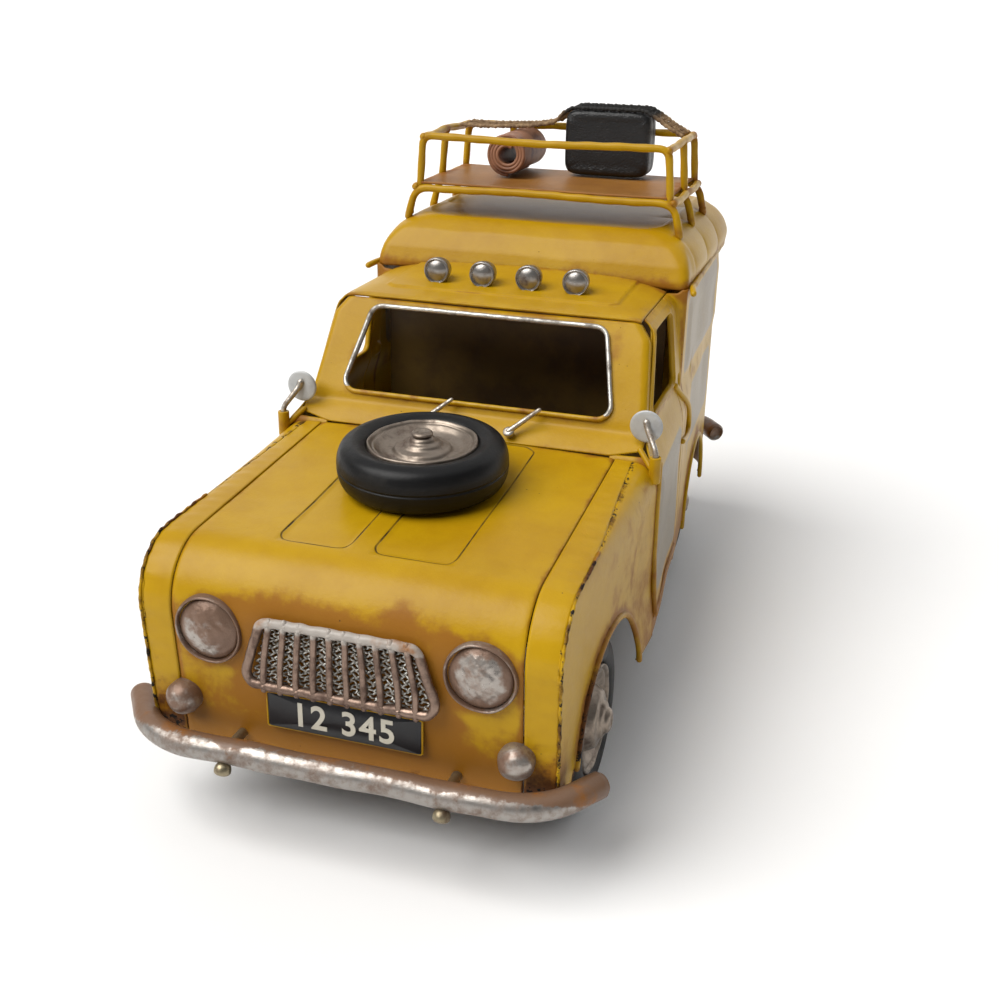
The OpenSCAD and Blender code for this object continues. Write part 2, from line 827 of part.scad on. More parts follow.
module roof_rack() {
    butt = wire_r + seam;
    post_top = rail_z - butt;
    color("goldenrod") {
        wire_frame(rack_x, rack_front, rack_rear, rack_z);
        wire_frame(rail_x, rack_front + 1.7, rack_rear, rail_z);
        left_and_right() for (y = [rack_front, rack_middle, rack_rear]) {
            lean = y == rack_front ? 1.5 : 0;
            rod([rack_x + 0.9, y, rack_z - butt - 0.3], [53.4, y, roof_z - 1.9], wire_r - 0.1);
            rod([rack_x - 0.4, y, rack_z + butt + 0.3],
                [rail_x + 0.3, y + lean, post_top - 0.3], wire_r - 0.1);
        }
        rod([-28, rack_rear, rack_z + butt], [-28, rack_rear, post_top], wire_r - 0.1);
    }
}

module rack_deck() {
    half = rack_x - 2;
    color("saddlebrown") translate([-half, rack_front, deck_z + 0.02])
        cube([2 * half, rack_rear - rack_front - wire_r - seam, deck_t]);
}

case_x = [-1.5, 33];
case_y = [82.5, 98.5];
case_top = 188;
luggage_z = deck_z + deck_t + 0.1;

module suitcase() {
    r = 3;
    color([0.08, 0.08, 0.08]) hull()
        for (x = [case_x[0] + r, case_x[1] - r], y = [case_y[0] + r, case_y[1] - r])
            for (z = [luggage_z + r, case_top - r]) translate([x, y, z]) sphere(r = r, $fn = 20);
}

roll_r = 8.5;
roll_x = -20.3;
roll_y = [67, 99];

module rolled_mat() {
    color("sienna") translate([roll_x, roll_y[1], luggage_z + roll_r]) rotate([90, 0, 0])
        cylinder(h = roll_y[1] - roll_y[0], r = roll_r, $fn = 64);
}

// The net as a thin band laid over the luggage, from rail to rail
module luggage_net() {
    roll_z = luggage_z + roll_r;
    band = 0.8;
    function over(lift) =
        concat([[-rail_x + 1.6, rail_z + lift]],
               arc([roll_x, roll_z], roll_r + 0.4 + lift, 110, 40, 6),
               [[case_x[0] - 2, 185 + lift], [case_x[0] + 2, case_top + 0.3 + lift],
                [case_x[1] - 2, case_top + 0.3 + lift], [case_x[1] + 2.5, 185 + lift],
                [rail_x - 1.6, rail_z + lift]]);
    low = over(0);
    high = over(band);
    color("tan") along_y(84, rack_rear - 1.6)
        polygon(concat(low, [for (i = [len(high) - 1:-1:0]) high[i]]));
}

chassis_plate();
axle_hangers();
axle_bushes();
front_axle();
rear_axle();
front_left_tyre();
front_right_tyre();
rear_left_tyre();
rear_right_tyre();
front_left_rim();
front_right_rim();
rear_left_rim();
rear_right_rim();
axle_gear();
idler_shaft();
idler_gear();
flywheel_arbor();
flywheel();
motor_plates();
motor_spacers();
bonnet_panel();
left_fender();
right_fender();
cowl_panel();
windscreen_frame();
windscreen_bead();
cab_roof();
left_door();
right_door();
left_body_side();
right_body_side();
box_roof();
box_bulkhead();
rear_panel();
gutter_beads();
dash_shelf();
body_screws();
front_bumper();
rear_bumper();
bumper_brackets();
grille_frame();
grille_mesh();
number_plates();
headlight_bezels();
headlight_lenses();
fog_lamps();
roof_lamps();
tail_lamps();
left_mirror();
right_mirror();
mirror_sockets();
wipers();
spare_tyre();
spare_rim();
spare_bolt();
roof_rack();
rack_deck();
suitcase();
rolled_mat();
luggage_net();
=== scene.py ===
"""Friction tin van: its looks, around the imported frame. Shapes are in millimetres, and meshes in metres."""

import math

import bmesh
import bpy
import numpy as np
from mathutils import Matrix, Vector


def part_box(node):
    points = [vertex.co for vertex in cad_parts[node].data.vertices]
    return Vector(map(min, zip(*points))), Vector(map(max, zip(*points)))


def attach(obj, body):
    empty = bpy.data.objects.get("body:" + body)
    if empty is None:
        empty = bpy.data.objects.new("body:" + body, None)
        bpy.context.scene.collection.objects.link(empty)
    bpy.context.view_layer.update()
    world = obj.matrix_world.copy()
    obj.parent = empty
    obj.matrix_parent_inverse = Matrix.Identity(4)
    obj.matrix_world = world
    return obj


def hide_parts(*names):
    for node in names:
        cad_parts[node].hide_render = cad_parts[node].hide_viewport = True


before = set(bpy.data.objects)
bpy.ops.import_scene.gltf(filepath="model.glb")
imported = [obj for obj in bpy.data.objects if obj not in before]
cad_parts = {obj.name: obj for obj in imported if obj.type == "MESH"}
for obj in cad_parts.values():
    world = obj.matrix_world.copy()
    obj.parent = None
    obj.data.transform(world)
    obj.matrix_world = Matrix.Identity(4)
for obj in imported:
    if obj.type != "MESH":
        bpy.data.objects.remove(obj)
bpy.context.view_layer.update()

# ---- Camera: a little above the bonnet and off to the car's left, as a person looks at a toy on a table ----

camera_turn = math.radians(17.1)
camera_rise = math.radians(22.7)
camera_roll = math.radians(1.13)
camera_data = bpy.data.cameras.new("camera")
camera_data.lens = 45
camera_data.sensor_width = 36
camera = bpy.data.objects.new("camera", camera_data)
bpy.context.collection.objects.link(camera)
backward = Vector((math.sin(camera_turn) * math.cos(camera_rise),
                   -math.cos(camera_turn) * math.cos(camera_rise), math.sin(camera_rise)))
sideways = (-backward).cross(Vector((0, 0, 1))).normalized()
upward = sideways.cross(-backward)
turned = Matrix.Rotation(camera_roll, 3, backward)
camera.matrix_world = Matrix((turned @ sideways, turned @ upward, backward)).transposed().to_4x4()
camera.location = (0.1281, -0.4147, 0.2354)
bpy.context.scene.camera = camera

# ---- Bonnet: one sheet from the cowl over the nose and down the front, brush-painted mustard yellow ----
# Tinplate, rolled round the nose, with two shallow pressed panels and a rib between them. The brown wash is
# rubbed on last, heavy low down and where the grille is soldered on.

MM = 0.001


def quads(rows, columns, wrap_rows=False, wrap_columns=False):
    """Corner numbers of the quads between neighbours on a grid whose points are numbered row by row."""
    r = np.arange(rows if wrap_rows else rows - 1)[:, None]
    c = np.arange(columns if wrap_columns else columns - 1)[None, :]
    below, right = (r + 1) % rows, (c + 1) % columns
    return np.stack([r * columns + c, r * columns + right, below * columns + right, below * columns + c],
                    -1).reshape(-1, 4)


def grid(points, wrap_rows=False, wrap_columns=False):
    """A sheet through a (rows, columns, 3) array of points."""
    rows, columns = points.shape[:2]
    return points.reshape(-1, 3), quads(rows, columns, wrap_rows, wrap_columns)


def smooth(low, high, x):
    """0 below low, 1 above high, and 3t^2 - 2t^3 between them."""
    t = np.clip((x - low) / (high - low), 0, 1)
    return t * t * (3 - 2 * t)


def piece(name, shapes, material, wall=0.0, inside=None, marks=None):
    """Joins shapes, each (points, faces), into one object.

    wall is the sheet's thickness, given to the inner side by Solidify. inside is a point that the
    faces look
    away from. marks are per-vertex masks for the material, each a function of the points or an array.
    """
    counts = np.cumsum([0] + [len(p) for p, _ in shapes])
    points = np.concatenate([p for p, _ in shapes])
    faces = [f + n for (_, f), n in zip(shapes, counts)]
    if inside is not None:
        for i, f in enumerate(faces):
            a, b, c = (points[f[:, k]] for k in (0, 1, 2))
            d = points[f[:, -1]]
            outward = np.einsum("ij,ij->i", np.cross(c - a, d - b), (a + c) / 2 - np.asarray(inside, float))
            if outward.sum() < 0:
                faces[i] = f[:, ::-1]
    mesh = bpy.data.meshes.new(name)
    mesh.from_pydata((points * MM).tolist(), [], [q.tolist() for f in faces for q in f])
    for mark, value in (marks or {}).items():
        values = value(points) if callable(value) else value
        mesh.attributes.new(mark, "FLOAT", "POINT").data.foreach_set("value",
                np.ascontiguousarray(values, np.float32))
    welded = bmesh.new()
    welded.from_mesh(mesh)
    bmesh.ops.remove_doubles(welded, verts=welded.verts, dist=2e-6)
    welded.to_mesh(mesh)
    welded.free()
    mesh.shade_smooth()
    made = bpy.data.objects.new(name, mesh)
    bpy.context.collection.objects.link(made)
    made.data.materials.append(material)
    if wall:
        sheet = made.modifiers.new("wall", "SOLIDIFY")
        sheet.thickness = wall * MM
        sheet.offset = -1
    return made


class Wire:
    """A shader output that does arithmetic: each operator adds one Math node."""

    def __init__(self, shader, socket):
        self.shader, self.socket = shader, socket

    def _math(self, operation, a, b):
        return self.shader.node("Math", {"operation": operation}, {0: a, 1: b})

    def __add__(self, other):
        return self._math("ADD", self, other)

    def __sub__(self, other):
        return self._math("SUBTRACT", self, other)

    def __rsub__(self, other):
        return self._math("SUBTRACT", other, self)

    def __mul__(self, other):
        return self._math("MULTIPLY", self, other)

    def max(self, other):
        return self._math("MAXIMUM", self, other)

    def min(self, other):
        return self._math("MINIMUM", self, other)

    def size(self):
        return self._math("ABSOLUTE", self, 0)

    __radd__ = __add__
    __rmul__ = __mul__


class Shader:
    """One material's node tree."""

    def __init__(self, name):
        self.material = bpy.data.materials.new(name)
        self.material.use_nodes = True
        self.tree = self.material.node_tree
        self.tree.nodes.clear()

    def node(self, kind, settings=None, sockets=None, out=0):
        """Adds a node: its type, its settings, which are set first, and its sockets' values or links."""
        made = self.tree.nodes.new("ShaderNode" + kind)
        for key, value in (settings or {}).items():
            if key == "stops":
                ramp = made.color_ramp
                while len(ramp.elements) < len(value):
                    ramp.elements.new(0.5)
                for element, (place, colour) in zip(ramp.elements, value):
                    element.position = place
                    element.color = (*colour, 1)
            else:
                setattr(made, key, value)
        for key, value in (sockets or {}).items():
            if isinstance(value, Wire):
                self.tree.links.new(value.socket, made.inputs[key])
            else:
                made.inputs[key].default_value = value
        return Wire(self, made.outputs[out]) if len(made.outputs) else made

    def place(self):
        """Object coordinates, in metres."""
        return self.node("TexCoord", out=3)

    def noise(self, scale, detail=3.0, rough=0.55, warp=0.0):
        """Noise about 0.5 with a feature size of 1 / scale metres."""
        return self.node("TexNoise", None, {"Vector": self.place(), "Scale": scale, "Detail": detail,
                                            "Roughness": rough, "Distortion": warp})

    def mark(self, name):
        """A per-vertex mask."""
        return self.node("Attribute", {"attribute_name": name}, out=2)

    def step(self, low, high, x):
        """0 below low, 1 above high, smooth between them."""
        return self.node("MapRange", {"interpolation_type": "SMOOTHSTEP"}, {0: x, 1: low, 2: high})

    def mix(self, factor, a, b):
        """Colour a at factor 0, colour b at factor 1."""
        colour = {key: value if isinstance(value, Wire) else (*value, 1) for key, value in ((6, a), (7, b))}
        return self.node("Mix", {"data_type": "RGBA"}, {0: factor, **colour}, out=2)

    def axis(self, number):
        """One of the object coordinates, in millimetres."""
        return self.node("SeparateXYZ", None, {0: self.place()}, out=number) * 1000

    def finish(self, sockets, height=None, depth=0.001, strength=1.0):
        """Ends the tree in a Principled shader, with height as a bump that is depth metres deep."""
        if height is not None:
            sockets = dict(sockets, Normal=self.node("Bump", None, {"Strength": strength, "Distance": depth,
                                                                   "Height": height}))
        base = self.node("BsdfPrincipled", None, sockets)
        self.node("OutputMaterial", None, {0: base})
        return self.material


def groove(shader, across, along, half_across, half_along, corner):
    """Distance in millimetres to the outline of a rounded rectangle: |p| - half sizes + corner, then
    its length."""
    dx = across.size() - (half_across - corner)
    dy = along.size() - (half_along - corner)
    outer = shader.node("VectorMath", {"operation": "LENGTH"},
                        {0: shader.node("CombineXYZ", None, {0: dx.max(0), 1: dy.max(0)})}, out=1)
    return (outer + dx.max(dy).min(0) - corner).size()


def ride_as(part, body, slot, *nodes):
    """Gives a piece its body and hides the CAD nodes that it stands for; slot is not used."""
    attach(part, body)
    if nodes:
        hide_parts(*nodes)
    return part


MUSTARD = (0.49, 0.285, 0.003)
MUSTARD_DEEP = (0.37, 0.19, 0.0025)
WASH = (0.26, 0.092, 0.007)
RUST = (0.065, 0.018, 0.005)
CHIP = (0.012, 0.008, 0.006)
PALE = (0.22, 0.195, 0.16)


def painted_tin(name, colour=MUSTARD, deep=MUSTARD_DEEP, lines=None, rough=0.36):
    """Brushed enamel on tin: two tones, a brown wash and rust from the marks, chips, orange peel and
    pin holes.

    Marks: wash is how much brown glaze lies there, and on the fenders' outer side faces also painted shade;
    wear how far the paint is rubbed through, pale a plain pale panel.
    """
    s = Shader(name)
    wash, wear = s.mark("wash"), s.mark("wear")
    broad, middle, fine = s.noise(22, 2), s.noise(130, 4, 0.6), s.noise(900, 3, 0.6)
    cloud = s.noise(55, 5, 0.65, warp=0.6)
    tone = s.step(0.35, 0.7, broad) * 0.45 + s.step(0.3, 0.75, middle) * 0.3
    paint = s.mix(tone, colour, deep)
    paint = s.mix(s.mark("pale") * (0.75 + 0.25 * cloud), paint, PALE)
    glaze = s.step(0.44, 0.86, wash + (cloud - 0.5) * 0.9 + (middle - 0.5) * 0.75)
    rust = s.step(0.72, 0.9, wear * 0.75 + (middle - 0.5) * 0.9 + (cloud - 0.5) * 0.7 + wash * 0.2)
    speck = s.node("TexVoronoi", {"feature": "F1"}, {"Vector": s.place(), "Scale": 260.0})
    pits = 1 - s.step(0.035, 0.075, speck + (s.noise(45, 2) - 0.34) * 0.25)
    chip = s.step(0.80, 0.86, wear * 0.8 + (s.noise(420, 4, 0.7) - 0.5) * 1.1)
    paint = s.mix(glaze * 0.85, paint, WASH)
    paint = s.mix(rust * 0.85, paint, RUST)
    dark = chip.max(pits * 0.8)
    height = fine * 0.25 + middle * 0.6 - dark * 0.5 - rust * 0.2 + s.noise(2600, 2) * 0.06
    if lines is not None:
        cut = 1 - s.step(0.12, 0.42, lines(s) + (middle - 0.5) * 0.3)
        dark = dark.max(cut * (0.55 + 0.45 * s.step(0.4, 0.6, cloud)))
        height = height - cut * 0.9
    paint = s.mix(dark, paint, CHIP)
    gloss = rough + glaze * 0.14 + rust * 0.25 + (fine - 0.5) * 0.1 + dark * 0.25
    return s.finish({"Base Color": paint, "Roughness": gloss, "IOR": 1.32}, height, 0.00035, 0.55)


bonnet_low, bonnet_high = (np.array(corner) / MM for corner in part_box("bonnet_panel"))
nose_radius = 19.0
hood_fall = math.tan(math.radians(3.3))
hood_rear = bonnet_high[1]
hood_top = bonnet_high[2]
nose_y = bonnet_low[1] + nose_radius
nose_z = hood_top - (hood_rear - nose_y) * hood_fall - nose_radius / math.cos(math.atan(hood_fall))
arc_start = math.pi / 2 + math.atan(hood_fall)
arc_end = math.radians(184)
face_foot = np.array([bonnet_low[1] + 3.0, bonnet_low[2]])
lamp_low, lamp_high = (np.array(corner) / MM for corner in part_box("headlight_bezels"))
lamp_radius = (lamp_high[2] - lamp_low[2]) / 2
lamp_x, lamp_z = lamp_high[0] - lamp_radius, (lamp_high[2] + lamp_low[2]) / 2
arc_begin = np.array([nose_y + nose_radius * math.cos(arc_start), nose_z + nose_radius * math.sin(arc_start)])
arc_stop = np.array([nose_y + nose_radius * math.cos(arc_end), nose_z + nose_radius * math.sin(arc_end)])
top_run = math.hypot(hood_rear - arc_begin[0], hood_top - arc_begin[1])
nose_run = nose_radius * (arc_end - arc_start)
face_run = np.linalg.norm(face_foot - arc_stop)
profile_run = top_run + nose_run + face_run


def profile(s):
    """Side view of the bonnet at path length s: a falling line, an arc round the nose and a leaning face.

    Gives y and z, and the outward normal's y and z.
    """
    t = np.clip((s - top_run) / nose_run, 0, 1)
    angle = arc_start + t * (arc_end - arc_start)
    before, after = np.minimum(s - top_run, 0), np.maximum(s - top_run - nose_run, 0)
    down_face = (face_foot - arc_stop) / face_run
    y = nose_y + nose_radius * np.cos(angle) - before * math.sin(arc_start) + after * down_face[0]
    z = nose_z + nose_radius * np.sin(angle) + before * math.cos(arc_start) + after * down_face[1]
    return y, z, np.cos(angle), np.sin(angle)


def crown(s, x):
    """How far the bonnet drops from its middle line towards the side seams."""
    return (0.7 - 0.1 * smooth(0.4 * top_run, top_run, s)) * (np.abs(x) / 52) ** 2.4


def dents(points, centres, sizes, depths):
    """Sum of soft round dents: depth times exp(-(distance / size)^2)."""
    total = np.zeros(points.shape[:-1])
    for centre, size, depth in zip(centres, sizes, depths):
        total += depth * np.exp(-((points - np.array(centre)) ** 2).sum(-1) / size ** 2)
    return total


def hood_lines(s):
    """The scribed outlines of the two pressed panels, as distance in millimetres."""
    x, y = s.axis(0), s.axis(1)
    left = groove(s, x + 16, y + 84, 11, 42, 5)
    right = groove(s, x - 14, y + 84, 12, 42, 5)
    return left.min(right).max((-126.5 - y) * 5)


def bonnet_marks(p):
    """Brown wash low on the face, round the grille and lamps, and along the edges."""
    x, y, z = p[:, 0], p[:, 1], p[:, 2]
    low = smooth(62, 34, z)
    grille = smooth(12, 1, np.hypot(np.maximum(np.abs(x) - 27, 0), np.maximum(np.abs(z - 61.5) - 11.5, 0)))
    lamp = smooth(5, 0, np.hypot(np.abs(x) - lamp_x, z - lamp_z) - lamp_radius) * (z < 80)
    seam = smooth(2.6, 0, 52 - np.abs(x)) * 0.45
    rear = smooth(5, 0, hood_rear - y) * 0.4
    front = (y < -118).astype(float)
    return np.clip(0.18 + 0.78 * low * front + 0.72 * grille * front + 0.5 * lamp * front + seam + rear, 0,
                   1.1)


def bonnet_wear(p):
    x, z = p[:, 0], p[:, 2]
    grille = smooth(8, 0, np.hypot(np.maximum(np.abs(x) - 24, 0), np.maximum(np.abs(z - 70) - 3, 0))) * (p[:,
            1] < -130)
    return np.clip(0.55 * grille + 0.5 * smooth(38, 30, z) + 0.62 * smooth(0.9, 0, 52 - np.abs(x)), 0, 1)


half_hood = bonnet_high[0] - 0.15
across, run = np.meshgrid(np.linspace(-half_hood, half_hood, 141), np.linspace(0.1, profile_run, 201))
y, z, ny, nz = profile(run)
drop = crown(run, across)
for middle, half in ((-16, 11), (14, 12)):
    inside = np.maximum(np.abs(across - middle) - half, np.abs(y + 84) - 42)
    drop += 0.45 * smooth(0.6, -1.4, inside) * (run < top_run + 6)
shape = np.stack([across, y - drop * ny, z - drop * nz], -1)
dent = dents(shape, [(-36, -100, 90), (30, -70, 90), (38, -118, 88), (-8, -135, 80), (20, -142, 40),
                     (-34, -60, 91)],
             [13, 16, 9, 8, 9, 12], [0.5, 0.4, 0.5, 0.35, 0.4, 0.4])
dent += 0.25 * smooth(1.2, 0, half_hood - np.abs(across))
shape[..., 1] -= dent * ny
shape[..., 2] -= dent * nz
mustard = painted_tin("mustard_enamel")
bonnet = piece("bonnet_skin", [grid(shape)], painted_tin("bonnet_enamel", lines=hood_lines), wall=0.8,
               inside=(0, -80, 50), marks={"wash": bonnet_marks, "wear": bonnet_wear})
ride_as(bonnet, "car_body", "body_paint", "bonnet_panel")

# ---- Fenders: a rounded corner strip from cowl to front foot, and a side plate with the wheel arch ----
# Two sheets soldered along the outer seam, where the paint has chipped to black. A wire is rolled into the
# edge of the arch.

wheel_radius = (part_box("front_left_tyre")[1][2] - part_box("front_left_tyre")[0][2]) / 2 / MM
front_axle_y = np.mean([corner[1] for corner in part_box("front_axle")]) / MM
arch_radius = wheel_radius + 6.2
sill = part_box("left_body_side")[0][2] / MM


def sweep(path, radius, sides=12, closed=False, round_ends=True):
    """A round tube along a path: a circle set square to the path and carried along it without twisting.

    radius may be one number or one per point. Open ends are closed by rings that shrink as a half circle.
    """
    path = np.asarray(path, float)
    radius = np.broadcast_to(np.asarray(radius, float), len(path)).copy()
    if closed:
        tangent = np.roll(path, -1, 0) - np.roll(path, 1, 0)
    else:
        tangent = np.gradient(path, axis=0)
    tangent /= np.linalg.norm(tangent, axis=1)[:, None]
    start = np.cross(tangent[0], [0.0, 0.0, 1.0])
    if np.linalg.norm(start) < 0.1:
        start = np.cross(tangent[0], [1.0, 0.0, 0.0])
    normals = [start / np.linalg.norm(start)]
    for t in tangent[1:]:
        n = normals[-1] - t * normals[-1].dot(t)
        normals.append(n / np.linalg.norm(n))
    normals = np.array(normals)
    if round_ends and not closed:
        angles = np.radians([8, 30, 60])
        caps = []
        for end, way in ((0, -1), (-1, 1)):
            centre = path[end] + way * tangent[end] * radius[end] * np.sin(np.radians(90) - angles)[:, None]
            caps.append((centre, radius[end] * np.sin(angles)))
        path = np.concatenate([caps[0][0], path, caps[1][0][::-1]])
        radius = np.concatenate([caps[0][1], radius, caps[1][1][::-1]])
        normals = np.concatenate([normals[:1].repeat(3, 0), normals, normals[-1:].repeat(3, 0)])
        tangent = np.concatenate([tangent[:1].repeat(3, 0), tangent, tangent[-1:].repeat(3, 0)])
    binormals = np.cross(tangent, normals)
    turn = np.linspace(0, 2 * np.pi, sides, endpoint=False)
    ring = np.cos(turn)[None, :, None] * normals[:, None] + np.sin(turn)[None, :, None] * binormals[:, None]
    points, faces = grid(path[:, None] + radius[:, None, None] * ring, wrap_rows=closed, wrap_columns=True)
    if not closed:
        ends = len(points) + np.arange(2)
        points = np.concatenate([points, path[[0, -1]]])
        ring_id = np.arange(sides)
        last = (len(path) - 1) * sides
        first_cap = np.stack([ring_id, np.roll(ring_id, -1), np.full(sides, ends[0]),
                              np.full(sides, ends[0])], -1)
        last_cap = np.stack([last + np.roll(ring_id, -1), last + ring_id, np.full(sides, ends[1]),
                             np.full(sides, ends[1])], -1)
        return points, np.concatenate([faces[:, ::-1], first_cap[:, ::-1], last_cap[:, ::-1]])
    return points, faces[:, ::-1]


def mirrored(shapes):
    """The same shapes on the car's other side, with the faces still looking outwards."""
    return [(p * np.array([-1, 1, 1]), f[:, ::-1]) for p, f in shapes]


def seam_depth(s):
    """How far the outer seam lies under the bonnet line."""
    return np.interp(s, [0, 29, 54, 71, top_run, top_run + nose_run, profile_run],
                     [1.0, 1.3, 1.7, 1.6, 1.3, 1.0, 0.9])


def seam_x(s):
    """Half width of the body at the outer seam."""
    return np.interp(s, [0, 29, 54, 71, top_run + 10, profile_run], [57.7, 59.3, 61.2, 61.7, 61.8, 61.4])


door_half, nose_half = 66.6, 61.7


def side_x(y, z=60.0):
    """Half width of the fender's side plate, which widens towards the door and flares at its rear foot."""
    return door_half + (y - hood_rear) * (door_half - nose_half) / 100 + 1.7 * smooth(52, 32,
            z) * smooth(-78, -52, y)


strip_run = np.linspace(0.1, profile_run, 221)
run, share = np.meshgrid(strip_run, np.linspace(0, 1, 13), indexing="ij")
y, z, ny, nz = profile(run)
inner_drop = crown(run, 52.0)
deep = inner_drop + (seam_depth(run) - inner_drop) * share ** 3
deep = deep + 0.14 * np.sin(run * 0.9) * np.sin(run * 0.31) * share
strip = np.stack([52.15 + (seam_x(run) - 52.15) * share, y - deep * ny, z - deep * nz], -1)

plate_run = np.linspace(0.1, profile_run, 221)
y, z, ny, nz = profile(plate_run)
top_y, top_z = y - seam_depth(plate_run) * ny, z - seam_depth(plate_run) * nz
foot = math.asin((sill - wheel_radius) / arch_radius)
foot_reach = arch_radius * math.cos(foot)
keys = [0, 12, 30, 48, 66, 84, 100, 122, profile_run]
arch_turn = np.interp(plate_run, keys, np.radians([0, 0, 45, 90, 125, 155, 172, 180, 180]))
arch_turn = foot + (np.pi - 2 * foot) * np.clip(arch_turn / np.pi, 0, 1)
low_y = front_axle_y + arch_radius * np.cos(arch_turn)
low_z = wheel_radius + arch_radius * np.sin(arch_turn)
behind = np.interp(plate_run, [0, 12], [hood_rear, front_axle_y + foot_reach + 4])
ahead = np.interp(plate_run, [122, profile_run], [front_axle_y - foot_reach, top_y[-1] + 0.3])
low_y = np.where(plate_run < 12, behind, np.where(plate_run > 122, ahead, low_y))
low_z = np.where(plate_run < 12, sill, np.where(plate_run > 122, bonnet_low[2], low_z))
down = np.linspace(0, 1, 61) ** 1.6
plate_y = top_y[:, None] + (low_y - top_y)[:, None] * down
plate_z = top_z[:, None] + (low_z - top_z)[:, None] * down
under = np.hypot(plate_y - top_y[:, None], plate_z - top_z[:, None])
bulge = np.interp(plate_run, [0, 40, 80, 95, profile_run], [9, 8.5, 4, 1.6, 1.2])[:, None]
rounding = np.sqrt(np.clip(1 - (1 - np.clip(under / bulge, 0, 1)) ** 2, 0, 1))
plate_x = seam_x(plate_run)[:, None] + (side_x(plate_y, plate_z) - seam_x(plate_run)[:, None]) * rounding
lip = smooth(2.2, 0, np.hypot(plate_y - front_axle_y, plate_z - wheel_radius) - arch_radius) * (plate_z
        > sill + 1)
plate = np.stack([plate_x + 0.9 * lip, plate_y, plate_z], -1)
plate[..., 0] -= dents(plate, [(62, -60, 60), (64, -50, 76), (61, -118, 60)], [13, 8, 8], [0.9, 0.5, 0.5])
arch_path = np.linspace(foot + 0.02, np.pi - foot, 60)
arch_y = front_axle_y + arch_radius * np.cos(arch_path)
arch_z = wheel_radius + arch_radius * np.sin(arch_path)
arch_wire = sweep(np.stack([side_x(arch_y, arch_z) + 0.6, arch_y, arch_z], -1), 1.0)
bead_run = strip_run > 62
corner_bead = strip[bead_run, -1] + np.array([0.25, -0.15, 0.1]) + 0.08 * np.sin(strip_run[bead_run]
        * 1.3)[:, None]
corner_wire = sweep(corner_bead, 0.5 + 0.06 * np.sin(strip_run[bead_run] * 2.1), 8)


def fender_wash_and_shade(p):
    """Wash over the whole side, heavier low down, at the seam and round the arch, and painted shade over the
    outer side face.
    """
    x, y, z = np.abs(p[:, 0]), p[:, 1], p[:, 2]
    low = smooth(58, 30, z)
    ahead = smooth(-128, -142, y)
    arch = smooth(5, 0, np.hypot(y - front_axle_y, z - wheel_radius) - arch_radius)
    # The last term darkens the outer side face of the plate: painted shade, because that face lies in shade.
    return np.clip(0.24 + (0.16 + 0.5 * ahead) * low + 0.45 * arch + 0.3 * smooth(3, 0, hood_rear - y)
                   * (x > 62) + 0.3 * smooth(62, 65, x), 0, 1.1)


def fender_wear(p):
    x, y, z = np.abs(p[:, 0]), p[:, 1], p[:, 2]
    corner = smooth(1.3, 0, 53.1 - x) * 0.5
    arch = smooth(2.5, 0, np.hypot(y - front_axle_y, z - wheel_radius) - arch_radius)
    return np.clip(corner + 0.5 * arch + 0.35 * smooth(34, 30, z) + 0.3 * smooth(70, 40, z) * (y < -139), 0,
                   1)


strip_edge = np.concatenate([np.zeros(strip.shape[:2]) + smooth(0.45, 0, seam_x(run) - strip[..., 0])],
                            0).reshape(-1)
plate_edge = smooth(1.6, 0, under).reshape(-1)
fender_shapes = [grid(strip), grid(plate)]
fender_points = np.concatenate([p for p, _ in fender_shapes])
edge_wear = np.concatenate([strip_edge, plate_edge])
fender_wires = [arch_wire, corner_wire]
for side, shapes, wires in (("left", fender_shapes, fender_wires),
                            ("right", mirrored(fender_shapes), mirrored(fender_wires))):
    sign = 1 if side == "left" else -1
    skin = piece(side + "_fender_skin", shapes, mustard, wall=0.8, inside=(sign * 20, -85, 45),
                 marks={"wash": fender_wash_and_shade, "wear": np.maximum(fender_wear(fender_points),
                         edge_wear * 0.95)})
    rim = piece(side + "_arch_wire", wires, mustard, marks={
        "wash": lambda p: 0.42 + 0.3 * (p[:, 1] > -130), "wear": lambda p: 0.5 + 0.45 * (p[:, 1] < -110)})
    ride_as(skin, "car_body", "body_paint", side + "_fender")
    ride_as(rim, "car_body", "body_paint")

# ---- Windscreen surround and cowl: one sheet with a rounded opening, bent back at its sides ----
# The cowl is the same sheet carried down to the bonnet. A silver wire frames the glassless opening, and its
# lower run is painted over.

screen_foot = np.array([hood_rear + 7.3, hood_top + 5.7])
screen_head = np.array([hood_rear + 26.2, hood_top + 38.5])
screen_rise = np.linalg.norm(screen_head - screen_foot)
screen_way = (screen_head - screen_foot) / screen_rise
screen_out = np.array([-screen_way[1], screen_way[0]])
cowl_run = np.hypot(7.3, 5.7)


def rounded(corners, radii, steps=10):
    """A closed outline through the corners, each turned on an arc of its own radius."""
    corners = np.asarray(corners, float)
    count = len(corners)
    path = []
    for i, radius in enumerate(np.broadcast_to(radii, count)):
        a, b, c = corners[i - 1], corners[i], corners[(i + 1) % count]
        u, v = (a - b) / np.linalg.norm(a - b), (c - b) / np.linalg.norm(c - b)
        half = math.acos(np.clip(u.dot(v), -1, 1)) / 2
        reach = radius / math.tan(half)
        centre = b + (u + v) / np.linalg.norm(u + v) * radius / math.sin(half)
        first, last = b + u * reach - centre, b + v * reach - centre
        t = np.linspace(0, 1, steps)[:, None]
        chord = first * (1 - t) + last * t
        path.append(centre + chord / np.linalg.norm(chord, axis=1)[:, None] * radius)
    return np.concatenate(path)


